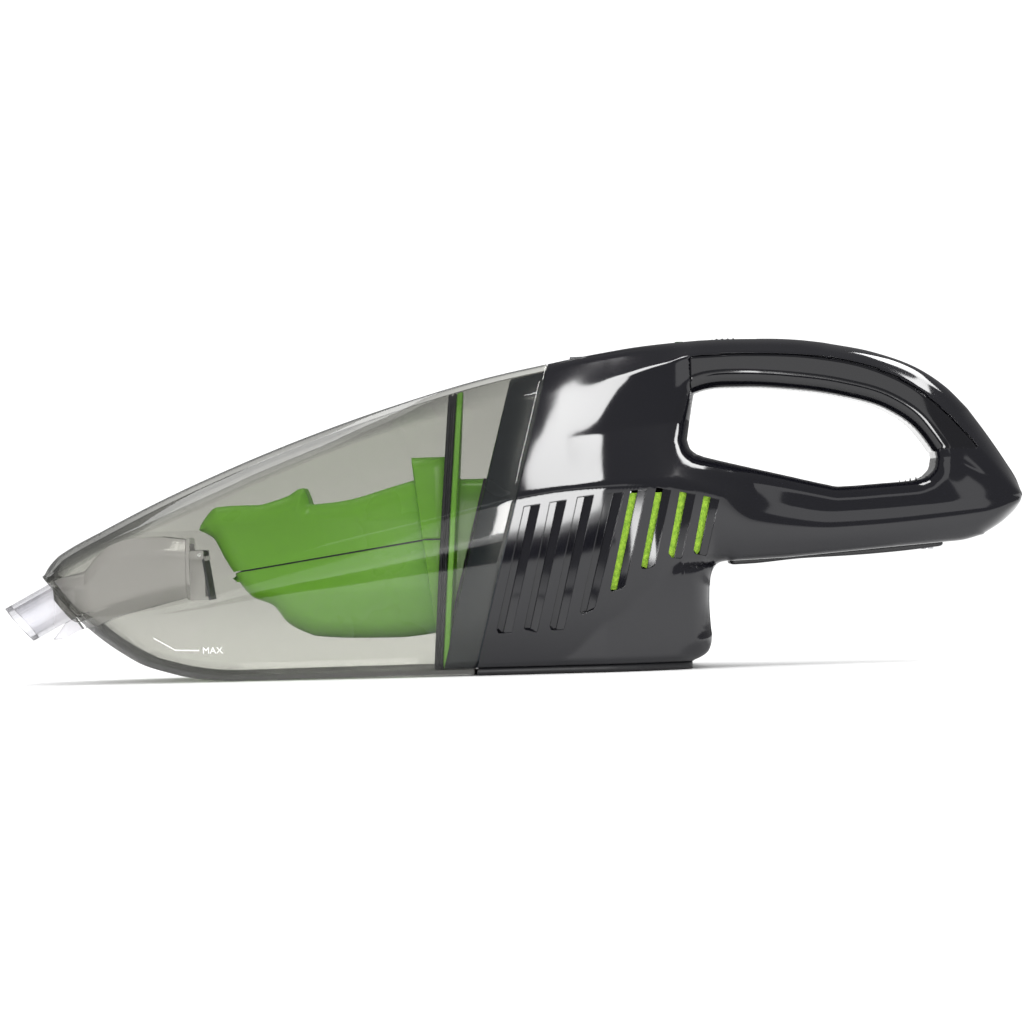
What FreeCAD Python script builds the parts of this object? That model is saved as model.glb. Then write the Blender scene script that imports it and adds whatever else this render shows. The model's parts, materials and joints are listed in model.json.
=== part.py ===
"""Cordless handheld vacuum with a clear dust cup, modelled in millimetres.

Frame: X runs from the nozzle (-X) to the tail of the handle (+X), Y is across, +Z is up.
The origin is on the ground, under the middle of the outer box. The flat base is at z = 0.
"""
import FreeCAD, Part
import math
import os
from FreeCAD import Vector

os.makedirs("parts", exist_ok=True)

# ---------------------------------------------------------------- driving dimensions
TAIL_X = 203.0            # rear end of the handle
NOZZLE_X = -203.0         # front end of the nozzle
WALL = 2.3                # moulded wall of cup and housing
FIT = 0.35                # air between parts that come apart
SEAM_X = -16.6            # where the cup-to-housing seam meets the ground
SEAM_SLOPE = 0.262        # seam leans back: dx for each mm of height
SEAM_GAP = 0.5            # shadow gap at the seam
SPIGOT = 13.7             # length of the housing's spigot inside the cup
RING_X = -32.9            # front face of the filter's seal ring at the ground
RING_SLOPE = 0.075
RING_THICK = 3.3
FLANGE_THICK = 2.5
AXIS_Z = 46.0             # motor axis height
BASE_THICK = 3.0          # base plate
BIG = 400.0               # longer than any part, for cutting tools
NOZZLE_TILT = 28.0        # nozzle points this far below level, degrees

UNDER = -1.0              # the sections reach below ground, and the side outline cuts them flat at z = 0

# Cross-sections of the hull: x, then (half-width, z) for crown, top crease, shoulder, belly, base
HULL = [
    (-192, (9, 46.5), (20, 43), (25, 22), (21, 6), (16, UNDER)),
    (-165, (10, 59.8), (22.5, 54), (31, 29), (26, 6), (20, UNDER)),
    (-135, (10.5, 74.2), (23, 66.2), (38.5, 37), (34, 5.5), (28, UNDER)),
    (-100, (10.5, 88.8), (23, 80.8), (45.5, 45.5), (40.5, 4.7), (36, UNDER)),
    (-60, (10, 102.6), (22.5, 95.6), (51.5, 56), (46, 4.3), (42, UNDER)),
    (-20, (10, 114.2), (22, 105.4), (55.5, 64.8), (49, 4.1), (45, UNDER)),
    (10, (10, 121.4), (21.7, 109.9), (57.3, 70.4), (50.2, 4.3), (46.3, UNDER)),
    (35, (9.5, 125.5), (20.5, 114), (57, 73), (49.5, 4.5), (45.5, UNDER)),
    (52, (9, 127.8), (19.5, 118), (53, 73.5), (46, 4.7), (42, UNDER)),
    (66, (8.5, 129.2), (18, 121.8), (45, 72.5), (40, 5.2), (36, UNDER)),
    (82, (8, 130), (16.5, 124.5), (35, 69), (33, 6), (30, UNDER)),
]
# Cross-sections of the handle: crown, top crease, waist, shoulder, underside
HANDLE = [
    (46, (8.5, 127), (17, 119), (24, 95), (44, 72), (43, 30)),
    (70, (8, 129.6), (16.5, 124), (21, 95), (37, 71), (35, 30)),
    (95, (8, 130.2), (16, 125), (17, 95), (27.5, 65.5), (25, 38)),
    (125, (8, 128.6), (16, 122.5), (17, 90), (23.5, 60), (21.5, 38)),
    (150, (8, 123), (15.5, 117), (17, 88), (22.5, 60.8), (20.5, 38)),
    (175, (8, 110.5), (15, 104), (18, 82), (21, 62), (19, 38)),
    (192, (8, 94), (14, 86), (17, 75), (18.5, 63.4), (16.5, 42)),
    (206, (7, 76), (12, 72), (13.5, 68), (14, 63), (12, 44)),
]
# Side outline, as smooth stretches (x, z)
CHIN = [(-121, 0), (-131, 2.2), (-147.4, 6.8), (-164.3, 17.6), (-174, 26.5), (-187.8, 43.8)]
NOSE = [(-187.8, 43.8), (-183.5, 49.3), (-178.6, 52.7), (-173.7, 55.6)]
ROOF = [(-173.7, 55.6), (-165, 64), (-100, 94), (0, 126), (70, 134), (112, 134)]
TAIL_TOP = [(112, 129.5), (126, 127.5), (145.1, 123.3), (164.1, 115.6), (182.9, 99.1),
            (196.7, 78.7), (TAIL_X, 65.5)]
TAIL_ROUND = [(TAIL_X, 65.5), (201, 60.9), (196, 55.5), (186.4, 49), (171.4, 46.8)]
BAR_UNDER = [(171.4, 46.8), (133.3, 44.3), (107.7, 42.4), (84, 41.8)]
BLOCK_REAR = [(84, 41.8), (78.6, 39.8), (76.7, 33), (76.3, 26.4), (77, 13)]
BLOCK_HEEL = [(77, 13), (76.4, 9), (74.4, 5.6), (69, 0)]
# Finger hole, as stretches
HOLE_TOP = [(76, 109.4), (92, 110.4), (111, 109.1), (130, 106.1), (149.3, 100),
            (160, 92.4), (167.2, 82.7)]
HOLE_REAR = [(167.2, 82.7), (168.4, 77.6), (165.6, 73.4), (160, 71.2)]
HOLE_FLOOR = [(160, 71.2), (130, 70.1), (124, 70.8), (77, 82.4)]
HOLE_FRONT = [(77, 82.4), (72, 85.2), (70, 91), (72.6, 106), (73.8, 108.6), (76, 109.4)]
# Upper edge of the grip liner inside the handle arch
LINER_EDGE = [(71.5, 123.6), (94.3, 124), (123, 122), (142, 117.8), (160.9, 108.8),
              (179.4, 91.2), (188, 81)]
LINER_HALF = 16.8
# Vent slots on each flank: top and bottom x, top and bottom z
VENTS = [(46.8, 37.4, 70, 31), (57.0, 49.9, 70.4, 39.4), (66.7, 61.0, 68.6, 43.4),
         (76.3, 71.3, 66.6, 44.2)]
VENT_WIDTH = 6.2
# Housing screws (x, z), driven from the right side
SCREWS = [(24, 104), (68.5, 9), (6, 14), (176, 62), (52, 112)]
BOSS_R, THREAD_R, HEAD_WELL_R = 3.4, 1.45, 2.75
HEAD_SEAT = 9.0           # the screw heads sit this far right of the middle
COVER_SCREWS = [(89, 41.0), (165, 44.6)]     # battery cover screws (x, z)
JACK_Z = 18.0             # charging jack in the rear wall of the base
CELL_R, CELL_LONG = 9.2, 65.0


# ---------------------------------------------------------------- small tools
def vec(x, y, z):
    return Vector(x, y, z)


def box(x0, x1, y0, y1, z0, z1):
    return Part.makeBox(x1 - x0, y1 - y0, z1 - z0, vec(x0, y0, z0))


def rod_x(radius, x0, x1, y=0.0, z=AXIS_Z):
    return Part.makeCylinder(radius, x1 - x0, vec(x0, y, z), vec(1, 0, 0))


def rod_y(radius, y0, y1, x, z):
    return Part.makeCylinder(radius, y1 - y0, vec(x, y0, z), vec(0, 1, 0))


def rod_z(radius, z0, z1, x, y=0.0):
    return Part.makeCylinder(radius, z1 - z0, vec(x, y, z0), vec(0, 0, 1))


def polygon(points):
    return Part.makePolygon([vec(*p) for p in points] + [vec(*points[0])])


def smooth(points):
    """One smooth edge through (x, z) points in the plane y = 0."""
    curve = Part.BSplineCurve()
    curve.interpolate([vec(x, 0, z) for x, z in points])
    return curve.toShape()


def straight(points):
    """Straight edges through (x, z) points in the plane y = 0."""
    spots = [vec(x, 0, z) for x, z in points]
    return [Part.makeLine(a, b) for a, b in zip(spots, spots[1:])]


def across(face, half=BIG / 2):
    """Extrude a face in the XZ plane both ways along Y."""
    lowered = face.copy()
    lowered.translate(vec(0, -half, 0))
    return lowered.extrude(vec(0, 2 * half, 0))


def prism_face(points):
    return Part.Face(polygon([(x, 0, z) for x, z in points]))


def prism(points):
    return across(prism_face(points))


def inset(points, depth):
    """Move a closed outline inwards by depth: each corner goes along its mitre."""
    area = sum(p[0] * q[1] - q[0] * p[1] for p, q in zip(points, points[1:] + points[:1]))
    inward = depth if area > 0 else -depth
    moved = []
    for before, spot, after in zip(points[-1:] + points, points, points[1:] + points[:1]):
        u = unit(spot[0] - before[0], spot[1] - before[1])
        v = unit(after[0] - spot[0], after[1] - spot[1])
        across_u, across_v = (-u[1], u[0]), (-v[1], v[0])
        mitre = unit(across_u[0] + across_v[0], across_u[1] + across_v[1])
        reach = inward / (mitre[0] * across_u[0] + mitre[1] * across_u[1])
        moved.append((spot[0] + mitre[0] * reach, spot[1] + mitre[1] * reach))
    return moved


def unit(a, b):
    length = math.hypot(a, b)
    return a / length, b / length


def outline(stretches, depth):
    """Face inside a closed chain of (is smooth, points) stretches, set inwards by depth."""
    corners = [spot for _, points in stretches for spot in points[:-1]]
    moved = inset(corners, depth) if depth else corners
    edges, at = [], 0
    for is_smooth, points in stretches:
        count = len(points)
        run = [moved[(at + i) % len(moved)] for i in range(count)]
        edges += [smooth(run)] if is_smooth else straight(run)
        at += count - 1
    return Part.Face(Part.Wire(edges))


def loft(stations, depth):
    """Skin the mirrored cross-sections, each set inwards by depth."""
    wires = []
    for station in stations:
        x, half = station[0], list(station[1:])
        ring = half + [(-w, z) for w, z in reversed(half)]
        ring = inset(ring, depth) if depth else ring
        wires.append(polygon([(x, y, z) for y, z in ring]))
    return Part.makeLoft(wires, True, False)


def side_face(depth=0):
    return outline([(True, CHIN), (False, NOSE), (False, ROOF), (False, [ROOF[-1], TAIL_TOP[0]]),
                    (True, TAIL_TOP), (True, TAIL_ROUND), (False, BAR_UNDER),
                    (True, BLOCK_REAR), (True, BLOCK_HEEL),
                    (False, [BLOCK_HEEL[-1], CHIN[0]])], depth)


def hole_face(depth=0):
    return outline([(True, HOLE_TOP), (True, HOLE_REAR), (False, HOLE_FLOOR),
                    (False, HOLE_FRONT)], -depth)


def envelope(depth):
    """The whole outer form, set inwards by depth on every side."""
    form = loft(HULL, depth).fuse(loft(HANDLE, depth)).common(across(side_face(depth)))
    return form.cut(across(hole_face(depth)))


def hull(depth):
    """The body's form without the handle, set inwards by depth."""
    return loft(HULL, depth).common(across(side_face(depth)))


def leaning_slab(x_ground, slope, x_from, x_to):
    """All space between two parallel planes that lean back by slope, offset from x_ground."""
    low, high = -50.0, 200.0
    corners = [(x_ground + slope * low + x_from, low), (x_ground + slope * low + x_to, low),
               (x_ground + slope * high + x_to, high), (x_ground + slope * high + x_from, high)]
    return across(Part.Face(polygon([(x, 0, z) for x, z in corners])))


def seam_slab(x_from, x_to):
    return leaning_slab(SEAM_X, SEAM_SLOPE, x_from, x_to)


def ring_slab(x_from, x_to):
    return leaning_slab(RING_X, RING_SLOPE, x_from, x_to)


def lead(points, radius=0.9):
    """A wire: a round tube along straight runs joined by tangent arcs."""
    spots = [vec(*p) for p in points]
    edges, start = [], spots[0]
    for before, corner, after in zip(spots, spots[1:], spots[2:]):
        u, v = (before - corner), (after - corner)
        reach = 0.45 * min(u.Length, v.Length)
        a, b = corner + u.normalize() * reach, corner + v.normalize() * reach
        turn = math.pi - u.getAngle(v)
        bend = reach / math.tan(turn / 2)
        middle = (u + v).normalize()
        centre = corner + middle * math.hypot(reach, bend)
        edges += [Part.makeLine(start, a), Part.Arc(a, centre - middle * bend, b).toShape()]
        start = b
    edges.append(Part.makeLine(start, spots[-1]))
    path = Part.Wire(edges)
    ring = Part.Wire(Part.makeCircle(radius, spots[0], spots[1] - spots[0]))
    return path.makePipeShell([ring], True, False)


def screw(x, y, z, direction, head_r, head_h, shank_r, length):
    """A pan-head screw; direction points from the head along the shank."""
    way = vec(*direction)
    head = Part.makeCylinder(head_r, head_h, vec(x, y, z) - way * head_h, way)
    shank = Part.makeCylinder(shank_r, length, vec(x, y, z), way)
    socket = Part.makeCylinder(head_r * 0.45, head_h * 0.6, vec(x, y, z) - way * head_h, way)
    return head.fuse(shank).cut(socket).removeSplitter()


FORM = envelope(0)
INSIDE = envelope(WALL)
parts = {}


# ---------------------------------------------------------------- dust cup and nozzle
def nozzle_outline(half_w, half_h, chamfer):
    """Flattened octagon in local (across, up)."""
    w, h, c = half_w, half_h, chamfer
    return [(w - c, h), (w, h - c), (w, c - h), (w - c, -h),
            (c - w, -h), (-w, c - h), (-w, h - c), (c - w, h)]


NOZZLE_LIP = (NOZZLE_X, 30.7)    # upper corner of the nozzle's mouth (x, z)
NOZZLE_CHIN = (-191.8, 17.4)     # lower corner of the mouth
NOZZLE_FACE = (-197.4, 24.05)    # middle of the mouth
NOZZLE_HALF_W, NOZZLE_HALF_H, NOZZLE_CHAMFER = 19.0, 8.3, 4.4
NOZZLE_WALL = 1.7
DUCT_END_X = -130.0


def nozzle_ring(along, half_w, half_h, chamfer):
    """Octagonal ring square to the nozzle axis, a distance along it from the mouth."""
    tilt = math.radians(NOZZLE_TILT)
    cx = NOZZLE_FACE[0] + along * math.cos(tilt)
    cz = NOZZLE_FACE[1] + along * math.sin(tilt)
    ring = []
    for y, h in nozzle_outline(half_w, half_h, chamfer):
        ring.append((cx - h * math.sin(tilt), y, cz + h * math.cos(tilt)))
    return polygon(ring)


def duct_end_ring(x, z_low, z_high, half_w, chamfer):
    middle, half = (z_low + z_high) / 2, (z_high - z_low) / 2
    return polygon([(x, y, middle + h) for y, h in nozzle_outline(half_w, half, chamfer)])


def duct_solid(thin, extra):
    """Nozzle tube that widens into a funnel; thin is taken off all round."""
    rings = [nozzle_ring(-8, NOZZLE_HALF_W - thin, NOZZLE_HALF_H - thin, NOZZLE_CHAMFER),
             nozzle_ring(26, NOZZLE_HALF_W - thin, NOZZLE_HALF_H - thin, NOZZLE_CHAMFER)]
    tube = Part.makeLoft(rings, True, True)
    rings = [nozzle_ring(26, NOZZLE_HALF_W - thin, NOZZLE_HALF_H - thin, NOZZLE_CHAMFER),
             duct_end_ring(-150, 28.4 + thin, 54.5 - thin, 20.5 - thin, 6),
             duct_end_ring(DUCT_END_X + extra, 33 + thin, 56 - thin, 21 - thin, 6)]
    (x0, z0), (x1, z1) = NOZZLE_LIP, NOZZLE_CHIN
    ahead = prism([(x0 + (x0 - x1), z0 + (z0 - z1)), (x1 + (x1 - x0), z1 + (z1 - z0)), (-240, -40),
                   (-240, 80)])
    tube = tube if extra else tube.cut(ahead)
    return tube.fuse(Part.makeLoft(rings, True, True)).removeSplitter()


def make_cup():
    cup = FORM.cut(INSIDE).common(seam_slab(-BIG, -SEAM_GAP))
    passage = duct_solid(-0.15, 4)
    cup = cup.cut(passage)
    parts["dust_cup"] = cup
    duct = duct_solid(0, 0).cut(duct_solid(NOZZLE_WALL, 2))
    parts["inlet_duct"] = duct
    catch = Part.Face(polygon([(-185.0, 0, 17.6), (-181.5, 0, 17.6), (-173.2, 0, 21.4),
                               (-176.6, 0, 26.4), (-179.6, 0, 24.6)]))
    parts["duct_catch"] = across(catch, 5).cut(duct_solid(-0.1, 4)).cut(FORM)


FLAP_HINGE = (-124.9, 49.8)
FLAP_SEAT = [(DUCT_END_X - 0.5, 49.4), (-127.2, 49.4), (-124.6, 46.9), (-122.2, 32.6),
             (DUCT_END_X - 0.5, 33.0)]      # side of the hood that the flap closes on
PIN_R = 0.8
HOOD_HALF = 17.0


def make_flap():
    """Rubber non-return flap, hung on a pin behind the funnel's slanted hood."""
    x, z = FLAP_HINGE
    hood = across(Part.Face(polygon([(a, 0, b) for a, b in FLAP_SEAT])), HOOD_HALF)
    hood = hood.cut(box(-140, -110, 1.5 - HOOD_HALF, HOOD_HALF - 1.5, 34.2, 60))
    ears = [box(DUCT_END_X - 1.2, x + 1.6, side * 18.9 - 1, side * 18.9 + 1, z - 1.7, z + 1.7)
            for side in (-1, 1)]
    duct = parts["inlet_duct"].fuse(hood).fuse(ears)
    parts["inlet_duct"] = duct.cut(rod_y(PIN_R + 0.02, -30, 30, x, z)).removeSplitter()
    parts["flap_pin"] = rod_y(PIN_R, -20.2, 20.2, x, z)
    leaf = across(prism_face([(x + 0.6, z), (x + 1.5, z), (-120.7, 31.8), (-121.7, 31.8)]), 17.4)
    barrel = rod_y(PIN_R + 0.9, -17.4, 17.4, x, z)
    flap = barrel.fuse(leaf).cut(rod_y(PIN_R + 0.05, -30, 30, x, z))
    parts["inlet_flap"] = flap.removeSplitter()


# ---------------------------------------------------------------- filter
POD_SIDE = [(-125.6, 59.7), (-123.4, 63.6), (-118.1, 68.7), (-101.3, 69), (-89.2, 72.2),
            (-83, 75.2), (-80.5, 68.4), (-65.2, 70), (-34, 78.4), (-28.8, 16.4), (-46.8, 15),
            (-68.8, 15.6), (-78.7, 16.3), (-90.6, 21.9), (-96.4, 29.2), (-104.3, 31.6),
            (-114.7, 47.4), (-119.6, 56.3)]
POD_SPLIT = [(-140, 38.6), (0, 58.8)]       # parting line of the two halves (x, z)
POD_WALL = 2.0
# x, then (half-width, z) of the pod's cross-section: ridge, upper corner, lower corner, keel
POD = [
    (-128, (8, 78), (15, 66), (15, 40), (8, 25)),
    (-100, (12, 78), (22, 66), (23, 36), (12, 20)),
    (-75, (13, 78), (27, 66), (29, 30), (16, 13)),
    (-25, (15, 80), (31, 70), (33, 28), (20, 13)),
]
NECK_HALF = 25.0
SKIRT_X, SKIRT_SLOPE = -29.5, -0.122        # front face of the pod's skirt


def make_filter():
    side = outline([(False, POD_SIDE + POD_SIDE[:1])], 0)
    hollow_side = outline([(False, POD_SIDE + POD_SIDE[:1])], POD_WALL)
    front = ring_slab(-BIG, 0)
    skirt_form = hull(WALL + FIT + 9.2).common(box(-60, 0, -BIG, BIG, 16, 86))
    hollow = loft(POD, POD_WALL).common(across(hollow_side))
    mouth = ring_slab(-9, 60).common(box(-60, 10, -26, 26, 22, 70))
    pod = loft(POD, 0).common(across(side)).common(front)
    lean = leaning_slab(SKIRT_X, SKIRT_SLOPE, 0, 40)
    skirt = skirt_form.common(lean).common(ring_slab(-40, RING_THICK))
    pod = pod.fuse(skirt).cut(hollow).cut(mouth)
    (x0, z0), (x1, z1) = POD_SPLIT
    above = prism([(x0, z0 + 0.05), (x1, z1 + 0.05), (x1, 140), (x0, 140)])
    below = prism([(x0, z0 - 0.55), (x1, z1 - 0.55), (x1, -20), (x0, -20)])
    window = box(-76, -44, -14, 14, 5, 24)
    parts["filter_frame_upper"] = pod.common(above).removeSplitter()
    parts["filter_frame_lower"] = pod.common(below).cut(window).removeSplitter()
    mesh = box(-75.5, -42, -16, 16, 18.6, 19.2)
    holes = [box(-73.5 + 4 * i, -71.1 + 4 * i, -13.2 + 4 * j, -10.8 + 4 * j, 18, 20)
             for i in range(8) for j in range(7)]
    parts["filter_mesh"] = mesh.cut(Part.makeCompound(holes))


def make_pleats():
    """Folded filter medium: a zigzag band carried along the pod."""
    folds, pitch, low, high, thick = 8, 4.2, 28.5, 61.5, 0.8
    upper, lower = [], []
    for i in range(2 * folds + 1):
        y = (i - folds) * pitch / 2
        z = high if i % 2 else low
        upper.append((y, z + thick * 1.6))
        lower.append((y, z - thick * 1.6))
    outline = upper + lower[::-1]
    band = Part.Face(polygon([(-88, y, z) for y, z in outline]))
    parts["pleated_filter"] = band.extrude(vec(44, 0, 0))
    end = box(-89.4, -88, -17.6, 17.6, 27.2, 62.8)
    parts["filter_end_cap"] = end


def make_flange():
    depth = WALL + FIT + 0.1
    section = hull(depth)
    ring = section.common(ring_slab(0, RING_THICK))
    inner = hull(depth + 9)
    parts["filter_seal_ring"] = ring.cut(inner)
    plate = section.common(ring_slab(RING_THICK, RING_THICK + FLANGE_THICK))
    neck_side = prism([(-40, 77), (20, 77), (20, 20.5), (-40, 20.5)])
    neck = neck_side.common(box(-40, 30, -NECK_HALF, NECK_HALF, 0, 100))
    neck = neck.common(ring_slab(RING_THICK, 60)).common(seam_slab(-60, -SPIGOT - 1.6))
    bore = box(-60, 30, -NECK_HALF + 2, NECK_HALF - 2, 22.5, 75)
    parts["filter_flange"] = plate.fuse(neck).cut(bore).removeSplitter()


# ---------------------------------------------------------------- housing
def make_shells():
    housing = seam_slab(0, BIG)
    shell = FORM.cut(INSIDE).common(housing)
    edge = [smooth(LINER_EDGE)] + straight([LINER_EDGE[-1], (170, 70), (100, 80), (71.5, 90),
                                            LINER_EDGE[0]])
    band = across(Part.Face(Part.Wire(edge)))
    parts["grip_liner"] = FORM.common(band).cut(INSIDE).common(
        box(71.5, BIG, -LINER_HALF, LINER_HALF, 84.0, BIG)).cut(box(150, BIG, -20, 20, 0, 84.0))
    shell = shell.cut(parts["grip_liner"])
    shell = shell.cut(box(-BIG, BIG, -BIG, BIG, -1, BASE_THICK))
    plate = FORM.common(housing).common(box(-BIG, BIG, -BIG, BIG, 0, BASE_THICK))
    slots = [box(10 + 7 * i, 13 + 7 * i, -14, 14, -1, 5) for i in range(6)]
    parts["base_plate"] = plate.cut(Part.makeCompound(slots))
    shell = shell.cut(box(76.0, 99.0, -5.2, 5.2, 122, 140))          # power slider slot
    shell = shell.cut(box(23.6, 40.4, -6.4, 6.4, 115, 140))          # release button slot
    shell = shell.cut(rod_z(1.7, 118, 140, 68))                      # lamp hole
    shell = shell.cut(rod_x(4.6, 60, 90, 0, JACK_Z))                 # charging jack hole
    shell = shell.cut(box(95, 158, -11, 11, 30, 50))                 # battery hatch
    for x, _ in COVER_SCREWS:
        shell = shell.cut(rod_z(1.45, 40, 52, x))
    bosses = [rod_y(BOSS_R, -BIG / 2, BIG / 2, x, z).common(FORM).common(housing)
              for x, z in SCREWS]
    for side, name in ((-1, "body_shell_left"), (1, "body_shell_right")):
        half = box(-BIG, BIG, min(0, side * BIG), max(0, side * BIG), -BIG, BIG)
        piece = shell.common(half)
        for boss in bosses:
            piece = piece.fuse(boss.common(half).cut(parts["grip_liner"]))
        for x, z in SCREWS:
            piece = piece.cut(rod_y(THREAD_R, -HEAD_SEAT - 2, BIG / 2, x, z))
            if side > 0:
                piece = piece.cut(rod_y(HEAD_WELL_R, HEAD_SEAT, BIG / 2, x, z))
        for x_top, x_low, z_top, z_low in VENTS:
            slot = Part.Face(polygon([(x_top, 0, z_top), (x_top + VENT_WIDTH, 0, z_top),
                                      (x_low + VENT_WIDTH, 0, z_low), (x_low, 0, z_low)]))
            cutter = slot.extrude(vec(0, side * BIG / 2, 0))
            piece = piece.cut(cutter.cut(box(-BIG, BIG, -24, 24, -BIG, BIG)))
        parts[name] = piece.removeSplitter()
    screws = [screw(x, HEAD_SEAT, z, (0, -1, 0), 2.6, 1.8, 1.4, 19) for x, z in SCREWS]
    parts["housing_screws"] = Part.makeCompound(screws)


def make_bulkhead():
    """Front wall of the housing: a closed spigot that plugs into the cup, with an air grille."""
    depth = WALL + FIT
    outer = hull(depth)
    hollow = hull(depth + 2)
    behind = RING_THICK + FLANGE_THICK + 0.4
    outer = outer.common(ring_slab(behind, BIG))
    hollow = hollow.common(ring_slab(behind + 2, BIG)).common(seam_slab(-SPIGOT + 2, 20))
    wall = outer.common(seam_slab(-SPIGOT, 5)).cut(hollow)
    wall = wall.cut(seam_slab(-0.3, BIG).common(box(-BIG, BIG, -BIG, BIG, -1, BASE_THICK + 0.05)))
    slots = [box(-60, 30, -20, 20, 27 + 6 * i, 30.5 + 6 * i) for i in range(8)]
    wall = wall.cut(Part.makeCompound(slots).common(seam_slab(-30, -SPIGOT + 3)))
    wall = wall.cut(box(-10, 30, -6.4, 6.4, 108, 140))
    parts["bulkhead"] = wall.cut(rod_y(3.45, -BIG / 2, BIG / 2, 24, 104)).removeSplitter()
    rim = box(-60, 40, -NECK_HALF, NECK_HALF, 20.5, 77).cut(
        box(-60, 40, -NECK_HALF + 2.4, NECK_HALF - 2.4, 23, 74.5))
    parts["neck_seal"] = rim.common(seam_slab(-SPIGOT - 1.3, -SPIGOT)).common(
        ring_slab(behind, BIG))


def make_underside():
    plug = [(86, 40.2), (133.3, 42.4), (170.2, 45), (170.4, 46.7), (133.3, 44.25),
            (107.7, 42.35), (86, 41.8)]
    cover = across(Part.Face(polygon([(x, 0, z) for x, z in plug])), 13)
    for x, z in COVER_SCREWS:
        cover = cover.cut(rod_z(1.5, 30, 60, x)).cut(rod_z(2.7, 30, z + 0.7, x))
    parts["battery_cover"] = cover
    parts["cover_screws"] = Part.makeCompound(
        [screw(x, 0, z + 0.7, (0, 0, 1), 2.5, 1.2, 1.4, 1.2) for x, z in COVER_SCREWS])
    feet = [(4, -34), (4, 34), (56, -26), (56, 26)]
    plate = parts["base_plate"]
    for x, y in feet:
        plate = plate.cut(rod_z(1.5, -1, 9, x, y)).cut(rod_z(2.8, -1, 1.8, x, y))
    parts["base_plate"] = plate
    parts["base_screws"] = Part.makeCompound(
        [screw(x, y, 1.8, (0, 0, 1), 2.6, 1.6, 1.4, 1.1) for x, y in feet])


def make_foam(side, name):
    depth = WALL + 0.15
    outer = loft(HULL, depth)
    inner = loft(HULL, depth + 4.5)
    pad = outer.cut(inner).common(box(40, 79.5, min(side * 18, side * BIG),
                                      max(side * 18, side * BIG), 31, 69))
    bounds = prism([(46, 69), (33, 31), (62, 31), (73.6, 47), (79.5, 47), (79.5, 69)])
    parts[name] = pad.common(bounds)


# ---------------------------------------------------------------- motor and fan
def make_motor():
    can = rod_x(20, 34, 70).cut(rod_x(18.6, 35.4, 71)).cut(rod_x(5.1, 30, 40))
    parts["motor_can"] = can
    cap = rod_x(18.6, 67.4, 70).fuse(rod_x(20, 70, 72)).cut(rod_x(3.1, 60, 75))
    parts["motor_end_cap"] = cap.removeSplitter()
    parts["front_bearing"] = rod_x(5.1, 33.6, 37).cut(rod_x(1.55, 30, 40))
    parts["rear_bearing"] = rod_x(3.1, 67.6, 71.2).cut(rod_x(1.55, 60, 80))
    parts["motor_shaft"] = rod_x(1.5, 15, 71)
    core = rod_x(16.8, 40, 60).cut(rod_x(1.5, 30, 70))
    for i in range(3):
        turn = math.radians(90 + 120 * i)
        notch = rod_x(4.2, 38, 62, 15.5 * math.cos(turn), AXIS_Z + 15.5 * math.sin(turn))
        core = core.cut(notch)
    parts["armature"] = core
    parts["commutator"] = rod_x(5, 61, 66.5).cut(rod_x(1.5, 50, 70))
    parts["motor_mount"] = rod_x(23, 57, 63).cut(rod_x(20, 50, 70))
    parts["motor_support"] = box(58, 62, -31, 31, BASE_THICK + 0.2, 46).cut(rod_x(23, 50, 70))


def make_fan():
    case = rod_x(35, 14, 33.6).cut(rod_x(33, 15.6, 32))
    case = case.cut(rod_x(13, 10, 16)).cut(rod_x(20.05, 31, 36)).cut(rod_x(5.15, 30, 40))
    outlets = [rod_x(3.6, 30, 40, 27 * math.cos(math.radians(a)),
                     AXIS_Z + 27 * math.sin(math.radians(a))) for a in range(0, 360, 30)]
    parts["fan_housing"] = case.cut(Part.makeCompound(outlets))
    disc = rod_x(30.5, 26, 27.4).fuse(rod_x(5, 18, 27.4))
    blades = []
    for i in range(9):
        blade = box(18.5, 26.4, 4, 29, -0.7, 0.7)
        blade.rotate(vec(0, 4, 0), vec(1, 0, 0), 24)
        blade.rotate(vec(0, 0, 0), vec(1, 0, 0), 40 * i)
        blade.translate(vec(0, 0, AXIS_Z))
        blades.append(blade)
    disc = disc.fuse(blades).common(rod_x(30.5, 10, 30))
    parts["impeller"] = disc.cut(rod_x(1.5, 10, 40)).removeSplitter()


# ---------------------------------------------------------------- controls and electrics
def make_controls():
    knob = box(78.6, 93.0, -4.6, 4.6, 121.9, 130.0)
    ribs = [rod_y(0.7, -5, 5, 81.5 + 2.8 * i, 130.3) for i in range(4)]
    parts["power_slider"] = knob.cut(Part.makeCompound(ribs))
    parts["power_switch"] = box(79, 95, -4.5, 4.5, 113.6, 121.4)
    button = box(24.2, 39.8, -5.9, 5.9, 119.6, 124.6).fuse(box(28, 36, -3.4, 3.4, 112.4, 119.6))
    arm = box(3.0, 30, -4, 4, 113.8, 115.8).fuse(box(3.0, 6, -4, 4, 113.8, 116.6))
    parts["release_button"] = button.fuse(arm).removeSplitter()
    spot = vec(32, 0, 106.4)
    turns, per_turn, coil_r, rise = 3.5, 8, 2.6, 5.4
    steps = int(turns * per_turn)
    coil = [(spot.x + coil_r * math.cos(2 * math.pi * i / per_turn),
             coil_r * math.sin(2 * math.pi * i / per_turn), spot.z + rise * i / steps)
            for i in range(steps + 1)]
    parts["release_spring"] = lead(coil, 0.35)
    shelf = box(24, 40, -9, 9, 103.6, 105.6)
    parts["spring_shelf"] = shelf.cut(rod_y(3.5, -BIG / 2, BIG / 2, 24, 104))
    lens = rod_z(1.6, 121, 129.6, 68)
    parts["charge_lamp"] = lens


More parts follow.
